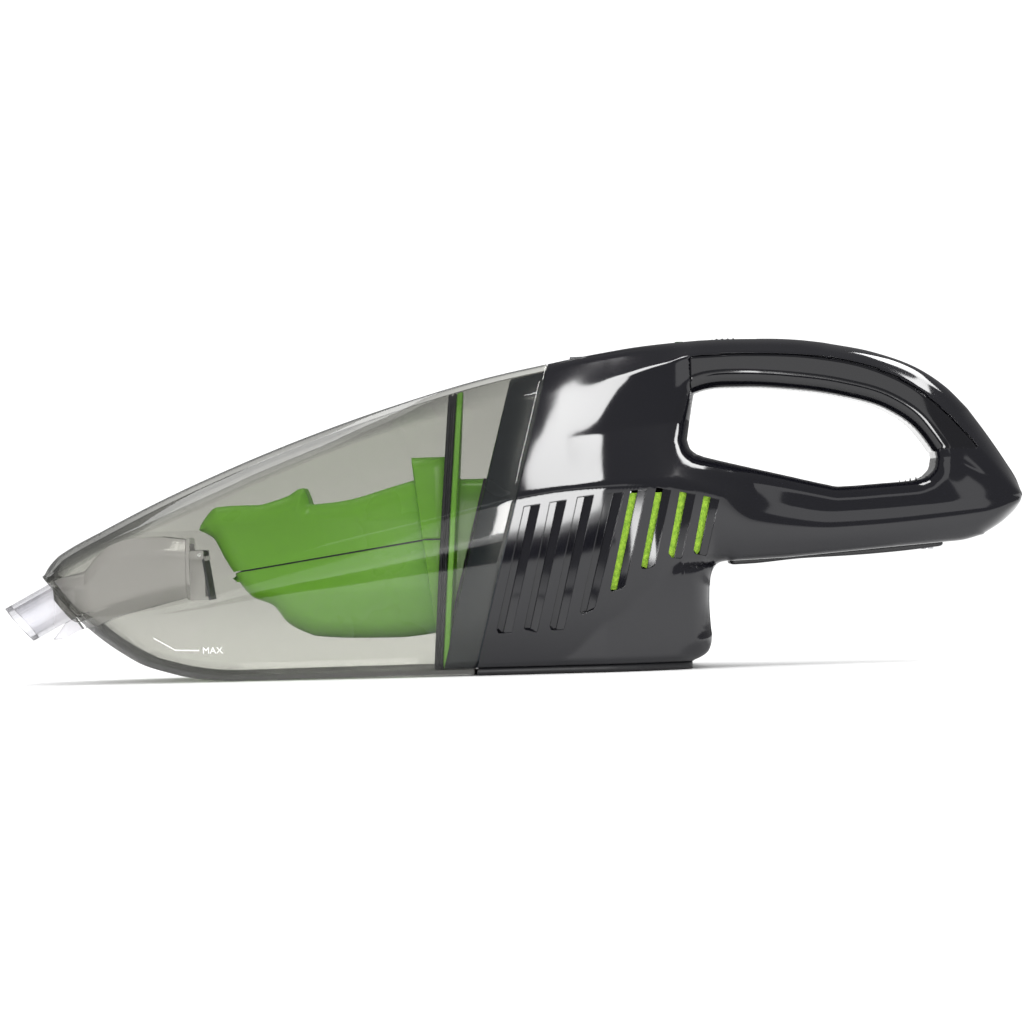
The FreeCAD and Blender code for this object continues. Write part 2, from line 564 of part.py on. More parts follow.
def make_electrics():
    board = box(30, 62, -13, 13, 92, 93.6)
    chips = [box(36, 44, -6, 2, 93.6, 95.6), box(48, 52, 3, 9, 93.6, 99),
             rod_z(3, 93.6, 101, 55, -7)]
    parts["circuit_board"] = board.fuse(chips)
    jack = box(63.4, 73.8, -5.4, 5.4, JACK_Z - 5.4, JACK_Z + 5.4)
    jack = jack.fuse(rod_x(4.5, 73.8, 76.2, 0, JACK_Z))
    jack = jack.cut(rod_x(2.75, 67, 80, 0, JACK_Z)).fuse(rod_x(0.9, 66, 75, 0, JACK_Z))
    parts["charge_jack"] = jack.removeSplitter()
    for side, name in ((-1, "battery_cell_left"), (1, "battery_cell_right")):
        parts[name] = rod_x(CELL_R, 84, 84 + CELL_LONG, side * 9.3, 57.3).fuse(
            rod_x(3, 84 + CELL_LONG, 84.8 + CELL_LONG, side * 9.3, 57.3))
    parts["cell_strap"] = box(84.9 + CELL_LONG, 85.3 + CELL_LONG, -13, 13, 54, 60.6)
    leads = [lead([(71.0, 6 * s, 65.5), (71.0, 6 * s, 73), (60, 6 * s, 81), (60, 6 * s, 91.9)])
             for s in (-1, 1)]
    parts["motor_leads"] = Part.makeCompound(leads)
    leads = [lead([(83.3, 11 * s, 60), (77, 11 * s, 64), (68, 11 * s, 76), (57, 11 * s, 84),
                   (57, 11 * s, 91.9)]) for s in (-1, 1)]
    parts["battery_leads"] = Part.makeCompound(leads)
    leads = [lead([(78.9, 2.5 * s, 116), (70, 2.5 * s, 116), (60, 2.5 * s, 108),
                   (58, 2.5 * s, 93.7)]) for s in (-1, 1)]
    parts["switch_leads"] = Part.makeCompound(leads)


make_cup()
make_flap()
make_filter()
make_pleats()
make_flange()
make_shells()
make_bulkhead()
make_underside()
make_foam(-1, "exhaust_foam_left")
make_foam(1, "exhaust_foam_right")
make_motor()
make_fan()
make_controls()
make_electrics()

for name, shape in parts.items():
    count = [round(solid.Volume, 1) for solid in shape.Solids]
    bounds = shape.optimalBoundingBox(False)
    print(f"{name:22s} solids {count} valid {shape.isValid()} volume {shape.Volume:9.1f} "
          f"x {bounds.XMin:7.1f} {bounds.XMax:7.1f} z {bounds.ZMin:6.1f} {bounds.ZMax:6.1f}")
    shape.exportStep(f"parts/{name}.step")
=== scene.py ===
"""Cordless handheld vacuum: smoked dust cup, green filter basket, glossy dark housing with a loop handle."""
import json
import math
import bmesh
import bpy
import numpy as np
from mathutils import Euler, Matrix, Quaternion, Vector


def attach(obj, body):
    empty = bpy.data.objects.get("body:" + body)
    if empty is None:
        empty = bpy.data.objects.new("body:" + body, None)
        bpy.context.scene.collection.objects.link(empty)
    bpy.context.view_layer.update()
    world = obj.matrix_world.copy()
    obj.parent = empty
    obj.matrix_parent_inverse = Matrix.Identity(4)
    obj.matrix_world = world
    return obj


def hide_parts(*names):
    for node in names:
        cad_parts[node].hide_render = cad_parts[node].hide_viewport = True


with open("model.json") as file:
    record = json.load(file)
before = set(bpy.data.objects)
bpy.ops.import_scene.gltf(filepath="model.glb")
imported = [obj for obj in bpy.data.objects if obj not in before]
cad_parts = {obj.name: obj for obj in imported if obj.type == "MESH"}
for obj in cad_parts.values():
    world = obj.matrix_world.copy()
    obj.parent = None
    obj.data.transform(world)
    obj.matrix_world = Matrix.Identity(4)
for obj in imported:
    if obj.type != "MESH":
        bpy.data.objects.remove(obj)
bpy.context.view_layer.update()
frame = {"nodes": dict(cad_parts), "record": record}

# ---------------------------------------------------------------- camera
# The vacuum is seen square on from its left flank, from far enough away that the view is nearly flat,
# with the camera rolled a little so that the base line climbs to the right.
MM = 0.001
VIEW_WIDTH = 409.6 * MM
VIEW_DISTANCE = 2.0
VIEW_ROLL = math.radians(1.6)
VIEW_CENTRE = (-0.6 * MM, 63.4 * MM)
SENSOR = 36.0
lens_data = bpy.data.cameras.new("studio_camera")
lens_data.sensor_width = SENSOR
lens_data.lens = SENSOR * VIEW_DISTANCE / VIEW_WIDTH
lens_data.clip_end = 50
camera = bpy.data.objects.new("studio_camera", lens_data)
bpy.context.scene.collection.objects.link(camera)
camera.location = (VIEW_CENTRE[0], -VIEW_DISTANCE, VIEW_CENTRE[1])
camera.rotation_mode = "QUATERNION"
camera.rotation_quaternion = (Euler((math.pi / 2, 0, 0)).to_quaternion()
                              @ Quaternion((0, 0, 1), -VIEW_ROLL))
bpy.context.scene.camera = camera


# ---------------------------------------------------------------- form of the hull
# Cup and housing are one streamlined hull. Five lines run along it: crown, top crease, shoulder crease,
# belly crease and ground line. Each has a height and a half-width at every place along X, in millimetres.
def line(*knots):
    """Monotone cubic through (place, value) knots: Hermite pieces with harmonic-mean slopes."""
    at, value = np.array(knots, float).T
    gap = np.diff(at)
    rise = np.diff(value) / gap
    slope = np.concatenate([rise[:1], np.zeros(len(at) - 2), rise[-1:]])
    same = rise[:-1] * rise[1:] > 0
    before, after = np.where(same, rise[:-1], 1), np.where(same, rise[1:], 1)
    w_before, w_after = 2 * gap[1:] + gap[:-1], gap[1:] + 2 * gap[:-1]
    mean = (w_before + w_after) / (w_before / before + w_after / after)
    slope[1:-1] = np.where(same, mean, 0)

    def read(x):
        x = np.clip(x, at[0], at[-1])
        i = np.clip(np.searchsorted(at, x) - 1, 0, len(gap) - 1)
        t = (x - at[i]) / gap[i]
        return ((1 + 2 * t) * (1 - t) ** 2 * value[i] + t * (1 - t) ** 2 * gap[i] * slope[i]
                + t * t * (3 - 2 * t) * value[i + 1] - t * t * (1 - t) * gap[i] * slope[i + 1])
    return read


crown_z = line((-187.8, 43.8), (-183.5, 49.3), (-178.6, 52.7), (-163.9, 60.3), (-144.5, 69.8),
               (-125, 78.5), (-86.2, 93.8), (-47.4, 106.7), (-8.7, 117.2), (15, 121.9), (35, 125.5),
               (58.8, 128.6), (85, 130), (106.9, 129.6), (126, 127.5), (145.1, 123.3), (164.1, 115.6),
               (173.5, 108.9), (182.9, 99.1), (192.1, 86), (198, 76.5), (203, 66))
crease_z = line((-188, 42), (-165.7, 53.7), (-128.1, 68.9), (-105.3, 78.6), (-60.5, 95.5),
                (-32.3, 103.1), (11, 110), (27.4, 112.4), (42, 115.6), (51.7, 118), (61.5, 120.4),
                (71.5, 123.3), (94.3, 124), (123, 122), (142, 117.9), (160.9, 108.8), (179.4, 91.2),
                (188.7, 80.3), (203, 64.8))
crease_w = line((-190, 20), (-165, 22.5), (-100, 23), (-20, 22), (11, 21.6), (35, 20.5), (52, 19.3),
                (66, 17.8), (82, 16.4), (120, 16), (160, 15.5), (185, 15), (203, 13))
shoulder_z = line((-190, 22), (-166.4, 28.5), (-123.7, 40), (-70.9, 53.5), (-28.2, 62.7), (0, 69),
                  (24.9, 72.3), (50.9, 73.6), (62, 73.2), (83.4, 68), (108.1, 62.5), (126, 59.9),
                  (140.4, 60.3), (170, 62), (203, 63.9))
shoulder_w = line((-192, 25), (-165, 31), (-135, 38.5), (-100, 45.5), (-60, 51.5), (-20, 55.5),
                  (10, 57.3), (35, 57), (52, 53), (66, 45), (82, 35), (95, 27.5), (125, 23.5),
                  (150, 22.5), (175, 21), (192, 18.5), (203, 14))
chin_z = line((-187.8, 43.8), (-182.2, 37.2), (-174, 26.5), (-164.3, 17.6), (-157.1, 12.4),
              (-147.4, 6.8), (-138.8, 4), (-130.9, 2), (-121, 0.5), (-112, 0), (300, 0))
belly_rise = line((-187, 1), (-165, 2.4), (-131, 3.4), (-100, 4.5), (300, 4.4))
belly_w = line((-190, 22), (-174, 26), (-165, 27), (-135, 34), (-100, 40.5), (-60, 46), (-20, 49),
               (10, 50.2), (35, 48.7), (52, 43), (62, 38.5), (72, 33.5), (80, 29), (95, 24.8),
               (125, 21.5), (150, 20.5), (171, 19), (186, 17), (203, 13))
CROWN_SHARE = 0.45          # the crown's flat, as a share of the top crease's half-width
BELLY_TUCK = 4.2            # how far the ground line lies inside the belly crease
PANEL_SWELL = (0.0, 0.5, 1.3, 2.0, 0.0, 0.0)   # sideways swell of each panel between the lines


def hull_knots(x):
    """The (half-width, height) corners of the hull's cross-section at x, crown centre to ground centre."""
    x = np.asarray(x, float)
    crown, chin = crown_z(x), chin_z(x)
    top = np.maximum(crease_z(x), chin + 0.2)
    shoulder = np.clip(shoulder_z(x), chin + 0.15, None)
    belly = np.minimum(chin + belly_rise(x), shoulder - 0.05)
    w = crease_w(x)
    half = np.stack([0 * w, CROWN_SHARE * w, w, shoulder_w(x), belly_w(x),
                     belly_w(x) - BELLY_TUCK, 0 * w], -1)
    height = np.stack([crown, crown, top, shoulder, belly, chin, chin], -1)
    return np.stack([half, height], -1)


CREASE_ROUND = 0.8          # half-length over which a crease is rounded


def hull_ring(x, share, inset=0.0):
    """Left half of the hull's cross-section: a rounded walk over its knots. share counts panels, 0 to 6.
    For an inset ring every knot first goes inwards along its mitre."""
    knots = hull_knots(x)
    step = np.diff(knots, axis=-2)
    length = np.maximum(np.hypot(step[..., 0], step[..., 1]), 1e-6)
    way = step / length[..., None]
    if inset:
        inward = np.stack([way[..., 1], -way[..., 0]], -1)
        first = np.concatenate([inward[..., :1, :], inward], -2)
        second = np.concatenate([inward, inward[..., -1:, :]], -2)
        knots = knots + inset * (first + second) / (1 + (first * second).sum(-1, keepdims=True))
        step = np.diff(knots, axis=-2)
        length = np.maximum((step * way).sum(-1), 1e-6)
    start = np.cumsum(length, -1) - length
    panel = np.clip(np.floor(share), 0, 5).astype(int)
    part = share - panel
    walked = (np.take_along_axis(start, panel[..., None], -1)[..., 0]
              + part * np.take_along_axis(length, panel[..., None], -1)[..., 0])
    spot = 0
    for shift in np.linspace(-1, 1, 7) * CREASE_ROUND:
        done = np.clip(walked[..., None] + shift - start, 0, length)
        spot = spot + (knots[..., 0, :] + (way * done[..., None]).sum(-2)) / 7
    return spot[..., 0] + np.array(PANEL_SWELL)[panel] * np.sin(math.pi * part), spot[..., 1]


def ring_on_plane(foot_x, slope, inset, shares):
    """The closed hull ring on a plane that leans back: x = foot_x + slope z. x and z are found in turn."""
    x = np.full(len(shares), foot_x + slope * 60.0)
    for _ in range(14):
        y, z = hull_ring(x, shares, inset)
        x = 0.4 * x + 0.6 * (foot_x + slope * z)
    left = np.stack([x, -y, z], -1)
    return np.concatenate([left, left[-2:0:-1] * (1, -1, 1)])


def panel_shares(counts):
    """Sample places over the panels, gathered towards the creases."""
    shares = [i + 0.5 - 0.5 * np.cos(math.pi * np.arange(n) / n) for i, n in enumerate(counts)]
    return np.concatenate(shares + [[len(counts)]])


def hex_colour(code):
    """sRGB hex code to linear RGBA."""
    parts = np.array([int(code[i:i + 2], 16) for i in (1, 3, 5)]) / 255
    flat = np.where(parts <= 0.04045, parts / 12.92, ((parts + 0.055) / 1.055) ** 2.4)
    return (*map(float, flat), 1.0)


def add(tree, kind, settings=None, links=None, out=None):
    """Adds one node: settings by property or input name, links as {input: socket}."""
    node = tree.nodes.new(kind)
    for name, value in (settings or {}).items():
        if isinstance(name, str) and hasattr(node, name):
            setattr(node, name, value)
        else:
            node.inputs[name].default_value = value
    for name, socket in (links or {}).items():
        tree.links.new(socket, node.inputs[name])
    return node if out is None else node.outputs[out]


def material(name):
    """An empty node material and its tree and output."""
    made = bpy.data.materials.new(name)
    made.use_nodes = True
    made.node_tree.nodes.clear()
    end = made.node_tree.nodes.new("ShaderNodeOutputMaterial")
    return made, made.node_tree, end


def grid_faces(rows, columns, wrap=False):
    """Quads of a rows x columns grid of points; wrap joins the last column to the first."""
    r = np.arange(rows - 1)[:, None]
    c = np.arange(columns if wrap else columns - 1)[None, :]
    n = (c + 1) % columns
    return np.stack([r * columns + c, r * columns + n, (r + 1) * columns + n,
                     (r + 1) * columns + c], -1).reshape(-1, 4)


def make_piece(name, points, faces, skin, body, node=None, slot=None, sharp=35, merge=0.02):
    """Mesh from points in millimetres and faces; merged, facing outwards, shaded smooth, riding on body."""
    mesh = bpy.data.meshes.new(name)
    mesh.from_pydata((np.asarray(points) * MM).tolist(), [], [list(map(int, f)) for f in faces])
    mesh.update()
    piece = bpy.data.objects.new(name, mesh)
    bpy.context.scene.collection.objects.link(piece)
    work = bmesh.new()
    work.from_mesh(mesh)
    bmesh.ops.remove_doubles(work, verts=work.verts, dist=merge * MM)
    bmesh.ops.dissolve_degenerate(work, edges=work.edges, dist=1e-7)
    bmesh.ops.recalc_face_normals(work, faces=work.faces)
    work.to_mesh(mesh)
    work.free()
    mesh.polygons.foreach_set("use_smooth", [True] * len(mesh.polygons))
    mesh.set_sharp_from_angle(angle=math.radians(sharp))
    mesh.materials.append(skin)
    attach(piece, body)
    for stood_for in ([node] if isinstance(node, str) else node or []):
        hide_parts(stood_for)
    return piece


def use_modifiers(piece):
    """Applies the piece's modifiers and keeps it smooth."""
    bpy.context.view_layer.update()
    made = bpy.data.meshes.new_from_object(piece.evaluated_get(
        bpy.context.evaluated_depsgraph_get()))
    piece.modifiers.clear()
    old, piece.data = piece.data, made
    bpy.data.meshes.remove(old)


def coat(skin, *nodes):
    """Gives CAD nodes that stay in view their procedural finish."""
    for node in nodes:
        mesh = frame["nodes"][node].data
        mesh.materials.clear()
        mesh.materials.append(skin)


def plastic(name, colour, low, high, grain=0.0, grain_mm=0.5, dark=None, edge_mm=0.0, **more):
    """Moulded plastic: roughness drifts between low and high, a fine grain lifts the surface, and the
    colour sinks a little towards dark in slow clouds. edge_mm rounds sharp edges for the light only."""
    made, tree, end = material(name)
    place = add(tree, "ShaderNodeTexCoord", out="Object")
    cloud = add(tree, "ShaderNodeTexNoise", {"Scale": 24.0, "Detail": 3.0}, {"Vector": place}, out=0)
    rough = add(tree, "ShaderNodeMapRange", {"To Min": low, "To Max": high}, {"Value": cloud}, out=0)
    paint = add(tree, "ShaderNodeMix", {"data_type": "RGBA", 6: hex_colour(colour),
                                        7: hex_colour(dark or colour)}, {0: cloud}, out=2)
    fine = add(tree, "ShaderNodeTexNoise", {"Scale": 1000 / grain_mm, "Detail": 2.0},
               {"Vector": place}, out=0)
    lift = add(tree, "ShaderNodeBump", {"Strength": grain, "Distance": 0.0001}, {"Height": fine})
    if edge_mm:
        tree.links.new(add(tree, "ShaderNodeBevel", {"Radius": edge_mm * MM}, out=0), lift.inputs["Normal"])
    lift = lift.outputs[0]
    end_shader = add(tree, "ShaderNodeBsdfPrincipled", more,
                     {"Base Color": paint, "Roughness": rough, "Normal": lift}, out=0)
    tree.links.new(end_shader, end.inputs["Surface"])
    return made


def rounded_box_loop(half_w, low, high, corner, steps=6):
    """Closed loop of a rounded rectangle as (across, up), starting right of its top centre."""
    c = np.minimum(corner, np.minimum(half_w, (high - low) / 2) - 0.01)
    turn = np.linspace(0, math.pi / 2, steps + 1)
    loop = []
    for quarter, (sy, sz) in enumerate(((1, 1), (1, -1), (-1, -1), (-1, 1))):
        centre = (sy * (half_w - c), high - c if sz > 0 else low + c)
        angle = math.pi / 2 - turn - quarter * math.pi / 2
        loop.append(np.stack([centre[0] + c * np.cos(angle), centre[1] + c * np.sin(angle)], -1))
    return np.concatenate(loop)


def capped(loops):
    """Points and faces of a tube through equal loops, closed by a flat face at each end."""
    loops = np.asarray(loops)
    rows, columns = loops.shape[:2]
    faces = grid_faces(rows, columns, wrap=True).tolist()
    last = (rows - 1) * columns
    return loops.reshape(-1, 3), faces + [list(range(columns)), list(range(last, last + columns))]


def boxes(*corners):
    """Points and faces of several boxes, each (x0, x1, y0, y1, z0, z1)."""
    points, faces = [], []
    for x0, x1, y0, y1, z0, z1 in corners:
        base = len(points)
        points += [(x, y, z) for x in (x0, x1) for y in (y0, y1) for z in (z0, z1)]
        faces += [[base + i for i in quad] for quad in
                  ((0, 1, 3, 2), (4, 6, 7, 5), (0, 4, 5, 1), (2, 3, 7, 6), (0, 2, 6, 4), (1, 5, 7, 3))]
    return points, faces


def rod(start, end, radius, count=24):
    """Points and faces of a round rod between two points."""
    start, end = np.array(start, float), np.array(end, float)
    way = (end - start) / np.linalg.norm(end - start)
    side = np.cross(way, (0.3, 0.5, 0.8))
    side /= np.linalg.norm(side)
    turn = np.arange(count) * 2 * math.pi / count
    ring = radius * (np.cos(turn)[:, None] * side + np.sin(turn)[:, None] * np.cross(way, side))
    return capped([start + ring, end + ring])


def together(*shapes):
    """Several (points, faces) as one."""
    points, faces = [], []
    for some, quads in shapes:
        base = len(points)
        points += [tuple(p) for p in np.asarray(some).tolist()]
        faces += [[base + int(i) for i in quad] for quad in quads]
    return points, faces


def cut_out(piece, shapes, sharp=32):
    """Subtracts shapes from a piece exactly, after its own modifiers."""
    points, faces = together(*shapes)
    mesh = bpy.data.meshes.new("cutter")
    mesh.from_pydata((np.array(points) * MM).tolist(), [], faces)
    tool = bpy.data.objects.new("cutter", mesh)
    bpy.context.scene.collection.objects.link(tool)
    work = bmesh.new()
    work.from_mesh(mesh)
    bmesh.ops.recalc_face_normals(work, faces=work.faces)
    work.to_mesh(mesh)
    work.free()
    cut = piece.modifiers.new("cut", "BOOLEAN")
    cut.operation, cut.solver, cut.object = "DIFFERENCE", "EXACT", tool
    use_modifiers(piece)
    bpy.data.objects.remove(tool)
    piece.data.polygons.foreach_set("use_smooth", [True] * len(piece.data.polygons))
    piece.data.set_sharp_from_angle(angle=math.radians(sharp))


def thicken(piece, depth):
    """Gives a skin a moulded wall on its inner side."""
    wall = piece.modifiers.new("wall", "SOLIDIFY")
    wall.thickness, wall.offset = depth * MM, -1


# ---------------------------------------------------------------- dust cup
# Injection-moulded smoked polycarbonate, 2.3 mm thick, polished inside and out. It is open at the back,
# where it slides over the housing's spigot, and its nose carries the inlet duct.
CUP_WALL = 2.3
SEAM_X, SEAM_SLOPE, SEAM_GAP = -16.6, 0.262, 0.5
NOZZLE_TILT = math.radians(28)
NOZZLE_MIDDLE = (-197.4, 24.05)
NOZZLE_HALF_W, NOZZLE_HALF_H, NOZZLE_CHAMFER = 19.0, 8.3, 4.4


def octagon(count, half_w, half_h, chamfer):
    """Closed octagon from its top centre round by the left, evenly spaced, as (across, up)."""
    w, h, c = half_w, half_h, chamfer
    corners = np.array([(0, h), (c - w, h), (-w, h - c), (-w, c - h), (c - w, -h), (0, -h),
                        (w - c, -h), (w, c - h), (w, h - c), (w - c, h), (0, h)], float)
    steps = np.hypot(*np.diff(corners, axis=0).T)
    walked = np.concatenate([[0], np.cumsum(steps)])
    places = np.linspace(0, walked[-1], count, endpoint=False)
    return np.stack([np.interp(places, walked, corners[:, 0]),
                     np.interp(places, walked, corners[:, 1])], -1)


def on_nozzle(across_up, along):
    """Point square to the nozzle's axis, a distance along it inwards from the middle of its mouth."""
    lean, rise = math.sin(NOZZLE_TILT), math.cos(NOZZLE_TILT)
    x = NOZZLE_MIDDLE[0] + along * rise - across_up[..., 1] * lean
    z = NOZZLE_MIDDLE[1] + along * lean + across_up[..., 1] * rise
    return np.stack([x, across_up[..., 0], z], -1)


NOSE_TOP, NOSE_FOOT = (-187.8, 43.8), (-174.0, 26.5)


def cup_surface():
    """Outer skin: stations lean from the nose face to the seam; on each, the rounded hull ring is walked.
    A point's x depends on its height, so it is found by repeating x(z), z(x)."""
    shares = panel_shares((4, 12, 26, 26, 6, 12))
    s = np.concatenate([np.linspace(0, 0.04, 9)[:-1], np.linspace(0.04, 1, 120)])
    seam_top = (SEAM_X + SEAM_SLOPE * 121.9 - SEAM_GAP, 121.9)
    seam_foot = (SEAM_X - SEAM_GAP, 0.0)
    top_x = NOSE_TOP[0] + (seam_top[0] - NOSE_TOP[0]) * s
    foot_x = NOSE_FOOT[0] + (seam_foot[0] - NOSE_FOOT[0]) * s ** 1.15
    top_z, foot_z = crown_z(top_x), chin_z(foot_x)
    x = np.repeat((top_x + foot_x)[:, None] / 2, len(shares), 1)
    share = np.repeat(shares[None], len(s), 0)
    for _ in range(14):
        y, z = hull_ring(x, share)
        part = (z - foot_z[:, None]) / (top_z - foot_z)[:, None]
        x = 0.4 * x + 0.6 * (foot_x[:, None] + (top_x - foot_x)[:, None] * np.clip(part, 0, 1))
    y, z = hull_ring(x, share)
    left = np.stack([x, -y, z], -1)
    right = left[:, -2:0:-1] * np.array([1, -1, 1])
    return np.concatenate([left, right], 1)


skin = cup_surface()
around = skin.shape[1]
mouth = octagon(around, NOZZLE_HALF_W + 0.2, NOZZLE_HALF_H + 0.2, NOZZLE_CHAMFER)
mouth3d = on_nozzle(mouth, 0)
face_slope = (NOSE_FOOT[0] - NOSE_TOP[0]) / (NOSE_FOOT[1] - NOSE_TOP[1])
plane_x = NOSE_TOP[0] + (mouth3d[:, 2] - NOSE_TOP[1]) * face_slope
reach = (plane_x - mouth3d[:, 0]) / (math.cos(NOZZLE_TILT) - math.sin(NOZZLE_TILT) * face_slope)
mouth3d = on_nozzle(mouth, 0) + reach[:, None] * np.array([math.cos(NOZZLE_TILT), 0,
                                                           math.sin(NOZZLE_TILT)])
rows = [mouth3d + (skin[0] - mouth3d) * f for f in (0, 0.25, 0.5, 0.75, 0.92)]
NOSE_BULGE = 0.2
for row, f in zip(rows, (0, 0.25, 0.5, 0.75, 0.92)):
    row[:, 0] -= NOSE_BULGE * (1 - f ** 2)
skin = np.concatenate([np.stack(rows), skin])

# The nose rim is eased by averaging its rows with their neighbours.
for _ in range(8):
    skin[4:11] = skin[4:11] / 2 + (skin[3:10] + skin[5:12]) / 4


def clear_plastic(name, face, edge, bend, roughness, ior, milk=None):
    """Clear plastic: each surface tints what is behind it, more where it is seen edge-on (a low bend
    starts this early), and mirrors the room by Fresnel's law. The index is turned over on back faces,
    because the light isn't bent here. milk is (share, colour) of a milky body, which thins out towards
    the nozzle."""
    made, tree, end = material(name)
    turned = add(tree, "ShaderNodeLayerWeight", {"Blend": 0.5}, out="Facing")
    steep = add(tree, "ShaderNodeMath", {"operation": "POWER", 1: bend}, {0: turned}, out=0)
    tint = add(tree, "ShaderNodeMix", {"data_type": "RGBA", 6: hex_colour(face), 7: hex_colour(edge)},
               {0: steep}, out=2)
    body = add(tree, "ShaderNodeBsdfTransparent", links={"Color": tint}, out=0)
    if milk:
        cloudy = add(tree, "ShaderNodeBsdfDiffuse", {"Color": hex_colour(milk[1])}, out=0)
        place = add(tree, "ShaderNodeTexCoord", out="Object")
        place = add(tree, "ShaderNodeSeparateXYZ", links={0: place}, out=0)
        thick = add(tree, "ShaderNodeMapRange", {"From Min": -0.19, "From Max": -0.168, "To Min": 0.06,
                                                 "To Max": milk[0]}, {"Value": place}, out=0)
        body = add(tree, "ShaderNodeMixShader", links={0: thick, 1: body, 2: cloudy}, out=0)
    behind = add(tree, "ShaderNodeNewGeometry", out="Backfacing")
    index = add(tree, "ShaderNodeMapRange", {"To Min": ior, "To Max": 1 / ior}, {"Value": behind}, out=0)
    mirror = add(tree, "ShaderNodeFresnel", links={"IOR": index}, out=0)
    shine = add(tree, "ShaderNodeBsdfGlossy", {"Roughness": roughness}, out=0)
    mixed = add(tree, "ShaderNodeMixShader", links={0: mirror, 1: body, 2: shine}, out=0)
    tree.links.new(mixed, end.inputs["Surface"])
    return made


# Smoked: a light grey-green, darker edge-on.
cup_skin = clear_plastic("smoked_polycarbonate", "#E6E6E3", "#3C3D42", 2.4, 0.035, 1.5)
cup = make_piece("dust_cup_shell", skin.reshape(-1, 3), grid_faces(*skin.shape[:2], wrap=True),
                 cup_skin, "cup", "dust_cup", "smoked_clear", sharp=30)
thicken(cup, CUP_WALL)


# ---------------------------------------------------------------- housing halves
# Two halves of high-gloss dark grey ABS, split along the middle. Each flank is a height field over the
# side view: rays run from the finger hole to the outline, and every edge is rolled over by its own radius.
block_w = line((0, 50.2), (20, 50.5), (34, 51.4), (45, 49.8), (55, 46.8), (66, 42), (77, 36))
flank_foot_z = line((-20, 4.1), (35, 4.6), (52, 6), (62, 14), (72, 30), (80, 41), (90, 43.3),
                    (108, 43.9), (171, 48.2), (186, 50.5), (203, 62))
waist_pull = line((20, 0), (40, 2.5), (52, 5.5), (62, 8.5), (70, 10), (82, 7), (100, 2), (130, 0),
                  (165, 0), (180, 1.5), (203, 0))
BLOCK_DRAFT = -0.03


def flank(x, z):
    """Half-width of the housing at a place in the side view: straight between the lines, plus swell, and
    the base block where it stands out further."""
    crown, top, shoulder, foot = crown_z(x), crease_z(x), shoulder_z(x), flank_foot_z(x)
    middle = (top + shoulder) / 2
    w = crease_w(x)
    ws, wb = shoulder_w(x), belly_w(x)
    wm = (w + ws) / 2 - waist_pull(x)
    ground = np.maximum(foot - 4.3, 0)
    heights = [ground, foot, shoulder, middle, top, crown]
    widths = [wb - BELLY_TUCK, wb, ws, wm, w, CROWN_SHARE * w]
    half = widths[0]
    for low, high, a, b in zip(heights, heights[1:], widths, widths[1:]):
        part = np.clip((z - low) / np.maximum(high - low, 0.1), 0, 1)
        half = half + (b - a) * part
    upper = np.clip((z - shoulder) / np.maximum(top - shoulder, 0.1), 0, 1)
    lower = np.clip((z - foot) / np.maximum(shoulder - foot, 0.1), 0, 1)
    half = half + PANEL_SWELL[2] * np.sin(math.pi * upper) + PANEL_SWELL[3] * np.sin(math.pi * lower)
    block = block_w(x) - BLOCK_DRAFT * (z - 8) - np.clip(4.5 - z, 0, 9) * 0.95
    block = np.where((x > 18) & (x < 79), block - np.clip((z - 40) * 4, 0, 90), -99)
    return np.maximum(half, block)


def soft_flank(x, z, reach=0.8):
    """The flank with its creases rounded: the mean of nine near places."""
    total = 0
    for dx, dz in ((0, 0), (1, 0), (-1, 0), (0, 1), (0, -1), (0, 0.5), (0, -0.5), (0.5, 0), (-0.5, 0)):
        total = total + flank(x + dx * reach, z + dz * reach)
    return total / 9


def rounded(points, count):
    """A smooth open line through (x, z) points, evenly sampled: chord-length Catmull-Rom."""
    p = np.array(points, float)
    if len(p) == 2:
        return p[0] + (p[1] - p[0]) * np.linspace(0, 1, count)[:, None]
    walked = np.concatenate([[0], np.cumsum(np.hypot(*np.diff(p, axis=0).T))])
    slope = np.gradient(p, walked, axis=0)
    t = np.linspace(0, walked[-1], count)
    i = np.clip(np.searchsorted(walked, t) - 1, 0, len(p) - 2)
    gap = (walked[i + 1] - walked[i])[:, None]
    u = (t - walked[i])[:, None] / gap
    return ((1 + 2 * u) * (1 - u) ** 2 * p[i] + u * (1 - u) ** 2 * gap * slope[i]
            + u * u * (3 - 2 * u) * p[i + 1] - u * u * (1 - u) * gap * slope[i + 1])


BASE_TOP = 3.0              # the halves stop here; the base plate closes them
HALF_GAP = 0.25
